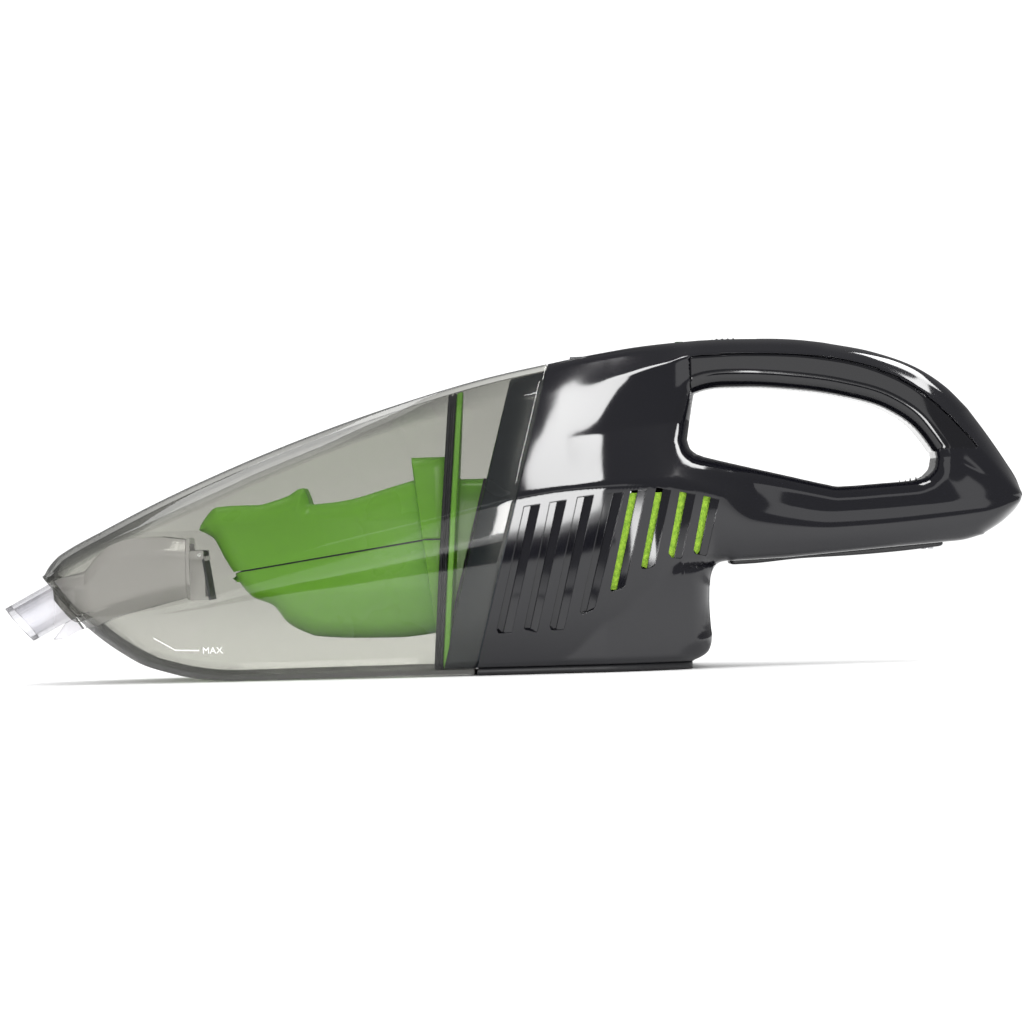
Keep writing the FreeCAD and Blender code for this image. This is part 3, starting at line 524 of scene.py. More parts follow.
# Outline of the housing, clockwise from the seam's foot, and the hole's edge that each stretch faces.
# Each stretch: outline points, hole points, points that bend the rays, samples, edge roll.
crown_run = [(x, float(crown_z(x))) for x in (15.3, 27, 38, 50, 62, 76)]
arch_run = [(x, float(crown_z(x))) for x in (76, 86, 96, 106.9, 116, 126)]
tail_run = [(126, 127.5), (145.1, 123.3), (164.1, 115.6), (173.5, 108.9), (182.9, 99.1)]
STRETCHES = [
    ([(SEAM_X + SEAM_SLOPE * BASE_TOP, BASE_TOP), (15.3, 121.9)],
     [(69.4, 90), (70.9, 98), (72.6, 107)], [(20, 45), (30, 75), (44, 114)], 110, 0.0),
    (crown_run, [(72.6, 107), (73.6, 109.6), (76, 111)], [(44, 114), (76, 120)], 46, 3.0),
    (arch_run, [(76, 111), (92, 112), (111, 110.7), (120, 109.6)], [(76, 120), (123, 118)], 50, 3.0),
    (tail_run, [(120, 109.6), (139.8, 105.4), (151, 100.8), (158.5, 95)],
     [(123, 118), (148, 110), (170.5, 97)], 56, 3.6),
    ([(182.9, 99.1), (189, 90.5), (196.7, 78.7), (201.6, 70.2), (203, 65.5)],
     [(158.5, 95), (164, 89.4), (167.6, 84), (168.3, 80)], [(170.5, 97), (182, 84), (185.6, 72.7)],
     44, 5.0),
    ([(203, 65.5), (201, 60.6), (196, 55.5), (186.4, 49.4)],
     [(168.3, 80), (167.4, 76), (164.6, 73.0)], [(185.6, 72.7), (176, 62)], 26, 5.0),
    ([(186.4, 49.4), (178, 47.3), (171.4, 46.8), (150, 45.4)],
     [(164.6, 73.0), (161, 71.7), (157, 71.3), (148, 70.8)], [(176, 62), (149, 58)], 34, 2.6),
    ([(150, 45.4), (107.7, 42.4)], [(148, 70.8), (132, 70.0), (128, 70.0), (124, 70.9), (108, 74.9)],
     [(149, 58), (108, 58.5)], 40, 2.2),
    ([(107.7, 42.4), (96, 42), (84, 41.7)], [(108, 74.9), (82, 81.4)], [(108, 58.5), (78, 62)], 24, 2.2),
    ([(84, 41.7), (80.6, 41.0), (78.3, 39.2), (77.0, 36), (76.5, 32)],
     [(82, 81.4), (79, 82.2)], [(78, 62), (66, 52)], 18, 5.0),
    ([(76.5, 32), (76.3, 26.4), (76.6, 18), (77, 13)], [(79, 82.2), (76, 83)], [(66, 52), (56, 36)],
     20, 8.0),
    ([(77, 13), (76.6, 9.4), (75.2, 6.4), (72, 4.2), (69, BASE_TOP)],
     [(76, 83), (73, 84.2)], [(56, 36), (50, 34)], 18, 7.0),
    ([(69, BASE_TOP), (40, BASE_TOP), (SEAM_X + SEAM_SLOPE * BASE_TOP, BASE_TOP)],
     [(73, 84.2), (70.6, 86.2), (69.4, 90)], [(50, 34), (36, 36), (20, 45)], 84, 0.0),
]
HOLE_ROLL = 6.0
outer, inner, bend, rolls = [], [], [], []
for outline, hole, middle, count, roll in STRETCHES:
    outer.append(rounded(outline, count + 1)[:-1])
    inner.append(rounded(hole, count + 1)[:-1])
    bend.append(rounded(middle, count + 1)[:-1])
    rolls.append(np.full(count, roll))
outer, inner, bend, rolls = (np.concatenate(some) for some in (outer, inner, bend, rolls))


def edge_drop(spots, edge, roll):
    """How far the skin falls behind its full width near an edge: a quarter circle of radius roll."""
    distance = np.full(len(spots), 1e9)
    for start in range(0, len(edge), 60):
        part = edge[start:start + 60]
        gap = np.hypot(spots[:, None, 0] - part[None, :, 0], spots[:, None, 1] - part[None, :, 1])
        distance = np.minimum(distance, gap.min(1))
    near = np.clip(1 - distance / roll, 0, 1)
    return roll * (1 - np.sqrt(1 - near ** 2))


ACROSS = 64
t = (0.5 - 0.5 * np.cos(math.pi * np.linspace(0, 1, ACROSS)))[:, None, None]
field = (1 - t) ** 2 * inner + 2 * t * (1 - t) * bend + t ** 2 * outer
flat = field.reshape(-1, 2)
width = soft_flank(flat[:, 0], flat[:, 1])
drop = edge_drop(flat, rounded(np.concatenate([inner, inner[:1]]), 900), HOLE_ROLL)
for roll in sorted(set(rolls[rolls > 0])):
    drop = np.maximum(drop, edge_drop(flat, outer[rolls == roll], roll))
LINER_SINK = 1.4            # the arch is cut back here, and the grip liner fills it
liner_zone = ((flat[:, 0] > 71.5) & (flat[:, 0] < 186) & (flat[:, 1] < crease_z(flat[:, 0]) - 0.2)
              & (flat[:, 1] > 84))
width = np.maximum(width - drop - LINER_SINK * liner_zone, 1.0).reshape(ACROSS, -1)


def half_shell(side):
    """Flank skin plus the strips that turn inwards to the split line along the hole and the outline."""
    skin = np.concatenate([field[..., :1], side * width[..., None], field[..., 1:]], -1)
    strips = []
    for row, shares in ((0, (0.0, 0.5)), (-1, (0.5, 0.0))):
        for share in shares:
            strip = skin[row].copy()
            strip[:, 1] = side * (HALF_GAP / 2 + (abs(strip[:, 1]) - HALF_GAP / 2) * share)
            if row == -1:
                strip[rolls == 0] = skin[-1][rolls == 0]
            strips.append(strip)
    return np.concatenate([np.stack(strips[:2]), skin, np.stack(strips[2:])])


abs_gloss, tree, end = material("gloss_dark_abs")
# Polished ABS in near-black grey: clean mirror gloss with the faint orange-peel of a large moulding.
ABS_GREY = "#101015"
place = add(tree, "ShaderNodeTexCoord", out="Object")
peel = add(tree, "ShaderNodeTexNoise", {"Scale": 90.0, "Detail": 2.0}, {"Vector": place}, out=0)
crisp = add(tree, "ShaderNodeBevel", {"Radius": 0.45 * MM}, out=0)
bump = add(tree, "ShaderNodeBump", {"Strength": 0.04, "Distance": 0.0004}, {"Height": peel, "Normal": crisp},
           out=0)
cloud = add(tree, "ShaderNodeTexNoise", {"Scale": 14.0, "Detail": 3.0}, {"Vector": place}, out=0)
rough = add(tree, "ShaderNodeMapRange", {"To Min": 0.05, "To Max": 0.10}, {"Value": cloud}, out=0)
gloss = add(tree, "ShaderNodeBsdfPrincipled", {"Base Color": hex_colour(ABS_GREY), "IOR": 1.53},
            {"Roughness": rough, "Normal": bump}, out=0)
tree.links.new(gloss, end.inputs["Surface"])

HOUSING_WALL = 2.3
# Eight slanted louvres on each flank. Each is a pocket along its left side, then a ramp that climbs to a
# crisp right edge. The front four are blind; the rear four open onto the foam.
# Top left, top right, bottom left, bottom right corner of each, (x, z).
LOUVRES = [((4.1, 65.4), (10.4, 66.2), (-8.2, 16.3), (-2.1, 15.8)),
           ((14.2, 66.7), (20.7, 67.5), (2.5, 16.6), (7.9, 16.2)),
           ((25.0, 68.4), (31.4, 69.1), (12.5, 17), (18.3, 16.5)),
           ((36.0, 69.4), (43.2, 70.1), (24.4, 22.4), (30.6, 24.8)),
           ((45.7, 70.4), (52, 70.9), (36.5, 30.8), (42.5, 33)),
           ((55.9, 71.4), (61.7, 70.3), (48.8, 39.2), (54.4, 40.8)),
           ((65.2, 69.5), (71.4, 68.4), (59.7, 43.8), (65.3, 43.3)),
           ((74.7, 67.7), (80.9, 66.2), (69.8, 44.8), (75.4, 44))]
BLIND_COUNT, POCKET_SHARE = 4, 0.44
POCKET_DEEP, RAMP_DEEP, RAMP_SHALLOW, THROUGH = 1.9, 1.6, 0.15, 9.0


def louvre_cutter(corners, side, blind):
    """Closed block whose floor follows the flank at the louvre's depth and whose ends are rounded."""
    top_left, top_right, low_left, low_right = (np.array(c, float) for c in corners)
    u = np.concatenate([np.linspace(0, POCKET_SHARE, 7), np.linspace(POCKET_SHARE + 0.02, 1, 8)])
    depth = np.where(u <= POCKET_SHARE + 0.001, POCKET_DEEP if blind else THROUGH,
                     RAMP_DEEP + (RAMP_SHALLOW - RAMP_DEEP) * (u - POCKET_SHARE) / (1 - POCKET_SHARE))
    wide = np.hypot(*(low_right - low_left))
    near_left = np.clip(1 - u * wide / 1.8, 0, 1)
    near_right = np.clip(1 - (1 - u) * wide / 0.7, 0, 1)
    lift = 1.8 * (1 - np.sqrt(1 - near_left ** 2)) + 0.7 * (1 - np.sqrt(1 - near_right ** 2))
    top = top_left + (top_right - top_left) * u[:, None]
    low = low_left + (low_right - low_left) * u[:, None]
    run = (top - low) / np.hypot(*(top - low).T)[:, None]
    low = low + run * lift[:, None]
    v = np.linspace(0, 1, 30)
    spots = low[None] + (top - low)[None] * v[:, None, None]
    base = soft_flank(spots[..., 0], spots[..., 1])
    inner = np.stack([spots[..., 0], side * (base - depth), spots[..., 1]], -1)
    outer = np.stack([spots[..., 0], side * (base + 2.0), spots[..., 1]], -1)
    return capped(np.concatenate([outer, inner[:, ::-1]], 1))


# Openings in both halves: power slider, release button, lamp, charging jack, battery hatch.
OPENINGS = [boxes((76, 99, -5.2, 5.2, 121, 140), (23.6, 40.4, -6.4, 6.4, 116, 140),
                  (96, 157, -10.5, 10.5, 30, 47.5)),
            rod((68, 0, 118), (68, 0, 140), 1.75), rod((60, 0, 18), (90, 0, 18), 4.7)]
SCREW_WELLS = [(24, 104, 2.75), (68.5, 9, 2.75), (6, 14, 1.65), (176, 62, 2.75), (52, 112, 2.75)]
for side, name in ((-1, "left"), (1, "right")):
    skin = half_shell(side)
    rows, columns = skin.shape[:2]
    half = make_piece(f"housing_{name}", skin.reshape(-1, 3), grid_faces(rows, columns, wrap=True),
                      abs_gloss, "housing", f"body_shell_{name}", "gloss_black_abs", sharp=32)
    thicken(half, HOUSING_WALL)
    cut_out(half, [louvre_cutter(corners, side, i < BLIND_COUNT) for i, corners in enumerate(LOUVRES)])
    cut_out(half, OPENINGS)
    if side > 0:
        cut_out(half, [rod((x, 9, z), (x, 90, z), radius) for x, z, radius in SCREW_WELLS])
    # The wall behind the tight bends can swing through the hole's edge; those points go back to the edge.
    edge = rounded(np.concatenate([inner, inner[:1]]), 400)
    points = np.empty(len(half.data.vertices) * 3, np.float32)
    half.data.vertices.foreach_get("co", points)
    points = points.reshape(-1, 3)
    spots = points[:, ::2].astype(float) / MM
    under_arch = np.flatnonzero((spots[:, 0] > 90) & (spots[:, 0] < 166) & (spots[:, 1] > 84)
                                & (spots[:, 1] < 108))
    gap = np.hypot(*(edge[None] - spots[under_arch, None]).transpose(2, 0, 1))
    near = edge[np.argmin(gap, 1)]
    stray = (spots[under_arch, 1] < near[:, 1]) & (near[:, 1] > 84)
    points[under_arch[stray], 0], points[under_arch[stray], 2] = (near[stray] * MM).T
    half.data.vertices.foreach_set("co", points.ravel())


# ---------------------------------------------------------------- grip liner
# A separate gloss moulding that wraps the inside of the arch, 1.5 mm thick, snapped into a recess in
# both halves. Its upper edge shows as a fine line under the crown.
LINER_TOP = [(71.7, 123.2), (94.3, 123.6), (123, 121.5), (142, 117.2), (160.9, 108), (170.2, 100.2),
             (179.4, 90.6), (186.5, 82)]
LINER_EDGE = [(71.7, 107.6), (73.6, 108.6), (76, 109.4), (92, 110.4), (111, 109.1), (130, 106.1),
              (149.3, 100), (158.7, 93.7), (164.6, 86.6), (167.2, 82.7)]
LINER_THICK = 1.5


def liner_skin():
    """Rows from the upper edge over the flank to the hole's edge, across, and up the other side."""
    top, edge = rounded(LINER_TOP, 150), rounded(LINER_EDGE, 150)
    t = 0.5 - 0.5 * np.cos(math.pi * np.linspace(0, 1, 34))
    spots = top[None] + (edge - top)[None] * t[:, None, None]
    flat = spots.reshape(-1, 2)
    half = soft_flank(flat[:, 0], flat[:, 1]) - 0.05
    half = half - edge_drop(flat, rounded(LINER_EDGE, 500), 7.5) - edge_drop(flat, rounded(LINER_TOP, 500), 1.0)
    half = half.reshape(spots.shape[:2])
    left = np.stack([spots[..., 0], -half, spots[..., 1]], -1)
    floor_rows = [left[-1] * (1, f, 1) for f in (0.6, 0.2, -0.2, -0.6)]
    return np.concatenate([left, np.stack(floor_rows), left[::-1] * (1, -1, 1)])


skin = liner_skin()
liner_gloss = plastic("liner_gloss", "#0C0C10", 0.06, 0.12, 0.02, 0.6, IOR=1.53)
liner = make_piece("grip_liner_band", skin.reshape(-1, 3), grid_faces(*skin.shape[:2]), liner_gloss,
                   "housing", "grip_liner", "gloss_black_abs", sharp=35)
thicken(liner, LINER_THICK)


# ---------------------------------------------------------------- bulkhead
# The housing's closed front wall, moulded with a spigot 13.7 mm long that the cup slides over.
SPIGOT, SPIGOT_INSET = 13.7, 2.75
shares = panel_shares((4, 10, 20, 20, 6, 10))
spigot_rows = [ring_on_plane(SEAM_X + along, SEAM_SLOPE, inset, shares) for along, inset in
               ((8, 4.6), (8, SPIGOT_INSET), (-4, SPIGOT_INSET), (0.9 - SPIGOT, SPIGOT_INSET),
                (0.3 - SPIGOT, SPIGOT_INSET + 0.3), (-SPIGOT, SPIGOT_INSET + 1))]
WALL_MIDDLE = np.array([SEAM_X - SPIGOT + SEAM_SLOPE * 46, 0, 46])
spigot_rows += [WALL_MIDDLE + (spigot_rows[-1] - WALL_MIDDLE) * f for f in (0.8, 0.5, 0.25, 0.02)]
skin = np.stack(spigot_rows)
satin_abs = plastic("satin_abs", "#252C34", 0.2, 0.32, 0.1, 0.4, IOR=1.5)
bulkhead = make_piece("bulkhead_wall", skin.reshape(-1, 3), grid_faces(*skin.shape[:2], wrap=True),
                      satin_abs, "housing", "bulkhead", "satin_black_abs", sharp=35)
thicken(bulkhead, 2.0)
cut_out(bulkhead, [boxes(*[(-60, 12, -20, 20, 27 + 6 * i, 30.5 + 6 * i) for i in range(8)])])


# ---------------------------------------------------------------- filter seal, flange and neck
# A soft double-lipped ring seals the filter flange to the cup. Behind it the green flange carries a
# square neck that meets the bulkhead.
RING_X, RING_SLOPE = -32.9, 0.075
SEAL_PROFILE = [(0.4, 2.7), (1.1, 2.7), (1.5, 3.4), (1.9, 3.4), (2.3, 2.7), (2.9, 2.7), (3.3, 3.3),
                (3.3, 11.2), (2.9, 11.7), (0.4, 11.7), (0, 11.2), (0, 3.3)]
skin = np.stack([ring_on_plane(RING_X + along, RING_SLOPE, inset, shares)
                 for along, inset in SEAL_PROFILE + SEAL_PROFILE[:1]])
seal_rubber = plastic("seal_rubber", "#24242E", 0.4, 0.55, 0.15, 0.3)
make_piece("filter_seal_lips", skin.reshape(-1, 3), grid_faces(*skin.shape[:2], wrap=True), seal_rubber,
           "filter", "filter_seal_ring", "black_rubber", sharp=40)

NECK_Z, NECK_HALF_W, NECK_HALF_H = 48.75, 25.0, 28.25


def neck_ring(foot_x, slope, thin, reference):
    """Squared oval on a leaning plane, point by point at the same bearings as a reference ring."""
    bearing = np.arctan2(reference[:, 2] - NECK_Z, reference[:, 1])
    a, b = NECK_HALF_W - thin, NECK_HALF_H - thin
    reach = ((abs(np.cos(bearing)) / a) ** 9 + (abs(np.sin(bearing)) / b) ** 9) ** (-1 / 9)
    z = NECK_Z + reach * np.sin(bearing)
    return np.stack([foot_x + slope * z, reach * np.cos(bearing), z], -1)


rim = [ring_on_plane(RING_X + along, RING_SLOPE, inset, shares)
       for along, inset in ((3.35, 3.6), (3.75, 2.85), (5.45, 2.85), (5.85, 3.4))]
end_x = SEAM_X - SPIGOT - 0.2
rows = [neck_ring(RING_X + 3.35, RING_SLOPE, 2.0, rim[0]), *rim,
        neck_ring(RING_X + 5.85, RING_SLOPE, -0.8, rim[0]), neck_ring(RING_X + 6.7, RING_SLOPE, 0, rim[0]),
        neck_ring(end_x - 0.4, SEAM_SLOPE, 0, rim[0]), neck_ring(end_x, SEAM_SLOPE, 0.4, rim[0]),
        neck_ring(end_x, SEAM_SLOPE, 2.0, rim[0]), neck_ring(RING_X + 3.35, RING_SLOPE, 2.0, rim[0])]
skin = np.stack(rows)
green = plastic("green_plastic", "#8AD244", 0.22, 0.34, 0.06, 0.5, dark="#80C83C", IOR=1.5)
make_piece("filter_flange_neck", skin.reshape(-1, 3), grid_faces(*skin.shape[:2], wrap=True), green,
           "filter", "filter_flange", "green_plastic", sharp=40)


# ---------------------------------------------------------------- filter basket
# Two green halves in polypropylene, 2 mm thick, that part along a slanted line. The upper half has a thumb
# tab. Both flare into a skirt that fits through the seal ring.
POD_TOP = line((-125.6, 59.7), (-123.4, 63.6), (-118.1, 68.5), (-109, 69), (-101.3, 69), (-95, 70.4),
               (-89.2, 72.3), (-84.2, 75.0), (-82.9, 75.1), (-81.4, 72), (-80.3, 68.6), (-72, 69.1),
               (-65.2, 70), (-48, 74.6), (-28, 80))
POD_UNDER = line((-125.6, 59.7), (-119.6, 56.3), (-114.7, 47.4), (-104.3, 32.6), (-96.4, 29),
                 (-90.6, 21.9), (-84.5, 18.3), (-78.7, 16.3), (-62, 15.2), (-46.8, 15), (-28, 16.8))
POD_HALF = line((-126, 13), (-118, 18.5), (-100, 22.5), (-75, 28), (-28, 32))
SPLIT_GAP = 0.7


def pod_split(x):
    return 38.6 + (x + 140) * 0.1443


def pod_skin(upper):
    """Loops at places along X: up one flank, across and down the other, with rolled outer edges."""
    x = np.concatenate([np.linspace(-125.6, -118, 22)[:-1], np.linspace(-118, -92, 30)[:-1],
                        np.linspace(-92, -78, 40)[:-1], np.linspace(-78, -28, 40)])
    if upper:
        low, high = np.maximum(pod_split(x), POD_UNDER(x)), POD_TOP(x)
    else:
        x = x[POD_UNDER(x) < pod_split(x) - SPLIT_GAP - 0.3]
        low, high = POD_UNDER(x), pod_split(x) - SPLIT_GAP
    t = 0.5 - 0.5 * np.cos(math.pi * np.linspace(0, 1, 30))
    z = low[:, None] + (high - low)[:, None] * t
    spots = np.stack([np.repeat(x[:, None], 30, 1), z], -1).reshape(-1, 2)
    half = POD_HALF(spots[:, 0])
    half = half - 0.25 * np.clip(spots[:, 1] - 62, 0, 30) - 0.3 * np.clip(34 - spots[:, 1], 0, 30)
    edge_x = np.linspace(-125.6, -28, 700)
    edge_z = POD_TOP(edge_x) if upper else POD_UNDER(edge_x)
    front = edge_x < -94
    edge = np.concatenate([np.stack([edge_x, edge_z], -1),
                           np.stack([edge_x[front], POD_UNDER(edge_x[front])], -1)])
    half = half - edge_drop(spots, edge, 7.0)
    half = np.maximum(half, 0.5).reshape(z.shape)
    left = np.stack([np.repeat(x[:, None], 30, 1), -half, z], -1)
    loops = np.concatenate([left, left[:, ::-1] * (1, -1, 1)], 1)
    faces = grid_faces(*loops.shape[:2], wrap=True)
    open_edge = faces[:, 0] % 60 == (59 if upper else 29)
    closed_front = upper & (x[faces[:, 0] // 60] < -112)
    return loops.reshape(-1, 3), faces[~open_edge | closed_front]


SKIRT_LOW, SKIRT_HIGH, SKIRT_INSET = 16.4, 86.0, 11.85


def skirt_skin(upper):
    """The flare behind the pod: hull-shaped flanks between a leaning front plane and the seal ring."""
    rows = []
    for f, shrink in ((0, 0.5), (0, 0.97), (0.03, 1.0), (0.5, 1.0), (1.0, 1.0)):
        t = np.linspace(0, 1, 40)
        split = pod_split(-34)
        z = split + (SKIRT_HIGH - split) * t if upper else split - SPLIT_GAP - (split - SKIRT_LOW) * t
        x = (-29.5 - 0.122 * z) * (1 - f) + (RING_X + 3.3 + RING_SLOPE * z) * f
        half = np.array([np.interp(-b, -hull_ring(np.full(120, a), np.linspace(0, 6, 120), SKIRT_INSET)[1],
                                   hull_ring(np.full(120, a), np.linspace(0, 6, 120), SKIRT_INSET)[0])
                         for a, b in zip(x, z)])
        near = np.clip(1 - (1 - t) * abs(z[-1] - z[0]) / 5.0, 0, 1)
        half = half - 5.0 * (1 - np.sqrt(1 - near ** 2))
        left = np.stack([x, -half * shrink, split + (z - split) * (0.8 + 0.2 * shrink if shrink < 0.9 else 1)],
                        -1)
        rows.append(np.concatenate([left, left[::-1] * (1, -1, 1)]))
    rows = np.stack(rows)
    return rows.reshape(-1, 3), grid_faces(*rows.shape[:2])


for name, upper in (("upper", True), ("lower", False)):
    points, faces = together(pod_skin(upper), skirt_skin(upper))
    basket = make_piece(f"filter_basket_{name}", points, faces, green, "filter", f"filter_frame_{name}",
                        "green_plastic", sharp=40)
    thicken(basket, 1.6)

# A dark rubber strip of painted shade fills the gap between the halves. It stands in for the shadow in the
# parting gap and shows as a fine dark line.
stations = np.linspace(-108.8, -34.5, 90)
spots = np.stack([stations, pod_split(stations) - SPLIT_GAP / 2], -1)
edge_x = np.linspace(-125.6, -94, 300)
shade_strip_half = POD_HALF(stations) - edge_drop(spots, np.stack([edge_x, POD_UNDER(edge_x)], -1), 7.0) - 0.9
height = pod_split(-34)
across = np.interp(-height, -hull_ring(np.full(120, -30.0), np.linspace(0, 6, 120), SKIRT_INSET)[1],
                   hull_ring(np.full(120, -30.0), np.linspace(0, 6, 120), SKIRT_INSET)[0])
loops = [[(x, -h, z - SPLIT_GAP + 0.02), (x, h, z - SPLIT_GAP + 0.02), (x, h, z - 0.02), (x, -h, z - 0.02)]
         for x, z, h in list(zip(stations, pod_split(stations), np.maximum(shade_strip_half, 0.5)))
         + [(-34.3, height, across - 0.9), (-26.5, height, across - 0.9)]]
# The strip is painted shade: a dark sheet where the basket's parting gap lies in shadow.
make_piece("basket_parting_shade_strip", *capped(loops), seal_rubber, "filter", sharp=30)


# ---------------------------------------------------------------- inlet duct
# Clear polycarbonate: a flattened octagonal nozzle that widens into a funnel inside the nose and ends in
# a slanted hood, which the flap closes. It is bonded into the cup.
def duct_rings(thin):
    """Loops from the slanted mouth to the rear rim, all with the same count of points."""
    loops = []
    count = 96
    shape = octagon(count, NOZZLE_HALF_W - thin, NOZZLE_HALF_H - thin, NOZZLE_CHAMFER)
    mouth_slope = (203 - 191.8) / (17.4 - 30.7)
    tube = on_nozzle(shape, 0)
    line_x = -203 + (tube[:, 2] - 30.7) * -mouth_slope * -1
    reach = (line_x - tube[:, 0]) / (math.cos(NOZZLE_TILT) - math.sin(NOZZLE_TILT) * mouth_slope)
    loops.append(tube + reach[:, None] * np.array([math.cos(NOZZLE_TILT), 0, math.sin(NOZZLE_TILT)]))
    loops += [on_nozzle(shape, along) for along in (12, 18, 23)]
    sizes = [(-171, 21.8, 44.5, 19.3), (-166, 22.9, 50.5, 19.8), (-160.5, 25.3, 55, 20.3),
             (-155, 26.9, 56.6, 20.6), (-150, 28.1, 57.2, 20.8), (-140, 30.5, 57.4, 21),
             (-130.6, 32.8, 56, 21)]
    for x, low, high, half in sizes:
        ring = octagon(count, half - thin, (high - low) / 2 - thin, 6)
        loops.append(np.stack([np.full(count, x), ring[:, 0], ring[:, 1] + (low + high) / 2], -1))
    return np.stack(loops)


outer_rings, inner_rings = duct_rings(0), duct_rings(1.7)
rim_ring = outer_rings[-1] + (0.5, 0, 0)
rim_ring[:, 1] *= 1.04
rim_ring[:, 2] = 44.4 + (rim_ring[:, 2] - 44.4) * 1.05
rim_back = rim_ring + (1.2, 0, 0)
inner_back = inner_rings[-1] + (1.7, 0, 0)
skin = np.concatenate([outer_rings, [rim_ring, rim_back, inner_back], inner_rings[::-1], outer_rings[:1]])
hood = boxes((-129, -123.0, -17.2, -15.9, 33.4, 47.5), (-129, -123.0, 15.9, 17.2, 33.4, 47.5),
             (-129, -122.8, -17.2, 17.2, 47.5, 49.2), (-129, -121.4, -17.2, 17.2, 31.9, 33.4),
             (-129.6, -123.3, -19.9, -17.9, 48.1, 51.5), (-129.6, -123.3, 17.9, 19.9, 48.1, 51.5))
# Water-clear with a faint milkiness, greyer where it is seen edge-on.
clear_skin = clear_plastic("clear_polycarbonate", "#F8F8FA", "#5C5D62", 1.6, 0.06, 1.55, (0.62, "#FFFCFF"))
points, faces = together((skin.reshape(-1, 3), grid_faces(*skin.shape[:2], wrap=True)), hood)
make_piece("inlet_nozzle", points, faces, clear_skin, "cup", "inlet_duct", "clear_plastic", sharp=25)


# ---------------------------------------------------------------- exhaust foam
# Bright green open-cell foam pads that follow the inside of each flank behind the open louvres.
foam_skin, tree, end = material("green_foam")
place = add(tree, "ShaderNodeTexCoord", out="Object")
cells = add(tree, "ShaderNodeTexVoronoi", {"Scale": 1100.0}, {"Vector": place}, out=0)
specks = add(tree, "ShaderNodeTexNoise", {"Scale": 700.0, "Detail": 3.0}, {"Vector": place}, out=0)
spread = add(tree, "ShaderNodeMapRange", {"From Min": 0.3, "From Max": 0.7}, {"Value": specks}, out=0)
tone = add(tree, "ShaderNodeMix", {"data_type": "RGBA", 6: hex_colour("#74A02C"), 7: hex_colour("#A0C83E")},
           {0: spread}, out=2)
lift = add(tree, "ShaderNodeBump", {"Strength": 0.8, "Distance": 0.0006}, {"Height": cells}, out=0)
foam = add(tree, "ShaderNodeBsdfPrincipled", {"Roughness": 0.95}, {"Base Color": tone, "Normal": lift}, out=0)
tree.links.new(foam, end.inputs["Surface"])
FOAM_OUT, FOAM_IN = 2.6, 6.8
for side, name in ((-1, "left"), (1, "right")):
    v, u = np.linspace(0, 1, 24)[:, None], np.linspace(0, 1, 30)[None]
    z = 32 + 37.5 * v + 0 * u
    start = 34.5 + 11 * v + 0 * u
    finish = np.where(z < 47, 60 + (z - 32) * 0.9, 73.5 + (z - 47) * 0.3)
    x = start + (np.minimum(finish, 80) - start) * u
    width = soft_flank(x, z)
    sheets = [np.stack([x, side * (width - depth), z], -1) for depth in (FOAM_OUT, FOAM_IN)]
    loops = np.concatenate([sheets[0], sheets[1][:, ::-1]], 1)
    points, faces = capped(loops)
    make_piece(f"foam_pad_{name}", points, faces, foam_skin, "housing", f"exhaust_foam_{name}", "green_foam",
               sharp=50)


# ---------------------------------------------------------------- base plate and battery cover
# Satin black mouldings screwed on from below.
stations = np.concatenate([np.linspace(-16.2, 60, 30), 69.4 - 9.4 * np.cos(np.linspace(0.1, 1.5, 14) * 1.0)])
stations = np.unique(np.clip(stations, -16.2, 69.3))
loops = []
for x in stations:
    near = np.clip(1 - (69.4 - x) / 8.0, 0, 0.999)
    half = float(soft_flank(np.array([x]), np.array([3.2]))[0]) - 0.15 - 8 * (1 - math.sqrt(1 - near ** 2))
    loop = rounded_box_loop(half, 0.0, 3.0, 1.3)
    loops.append(np.stack([x + SEAM_SLOPE * loop[:, 1] * (x < -10), loop[:, 0], loop[:, 1]], -1))
points, faces = capped(loops)
base_satin = plastic("base_satin", "#151518", 0.35, 0.5, 0.3, 0.35)
base = make_piece("base_pan", points, faces, base_satin, "housing", "base_plate", "satin_black_abs", sharp=30)
cut_out(base, [boxes(*[(10 + 7 * i, 13 + 7 * i, -14, 14, -1, 5) for i in range(6)])]
        + [rod((x, y, -1), (x, y, 1.8), 2.8) for x, y in ((4, -34), (4, 34), (56, -26), (56, 26))])

cover_low = line((85.6, 40.0), (94.8, 40.3), (114, 41.8), (133.3, 42.4), (152.5, 43.5), (170.4, 45.2))
cover_high = line((85.6, 42), (107.7, 42.5), (133.3, 44.4), (170.4, 46.9))
loops = []
for x in np.concatenate([[85.6, 85.8, 86.4, 87.4], np.linspace(89, 167, 40), [168.8, 169.7, 170.2, 170.4]]):
    end_near = np.clip(1 - np.minimum(x - 85.6, 170.4 - x) / 1.6, 0, 1)
    in_by = 1.0 * (1 - math.sqrt(1 - end_near ** 2))
    loop = rounded_box_loop(13.0 - in_by - 1.2 * (x - 85) / 85, float(cover_low(x)) + in_by * 0.8,
                            float(cover_high(x)) + 0.3, 0.9)
    loops.append(np.stack([np.full(len(loop), x), loop[:, 0], loop[:, 1]], -1))
points, faces = capped(loops)
cover = make_piece("battery_hatch", points, faces, base_satin, "housing", "battery_cover", "satin_black_abs",
                   sharp=30)
cut_out(cover, [rod((89, 0, 38), (89, 0, 41.7), 2.7), rod((165, 0, 40), (165, 0, 45.3), 2.7)])


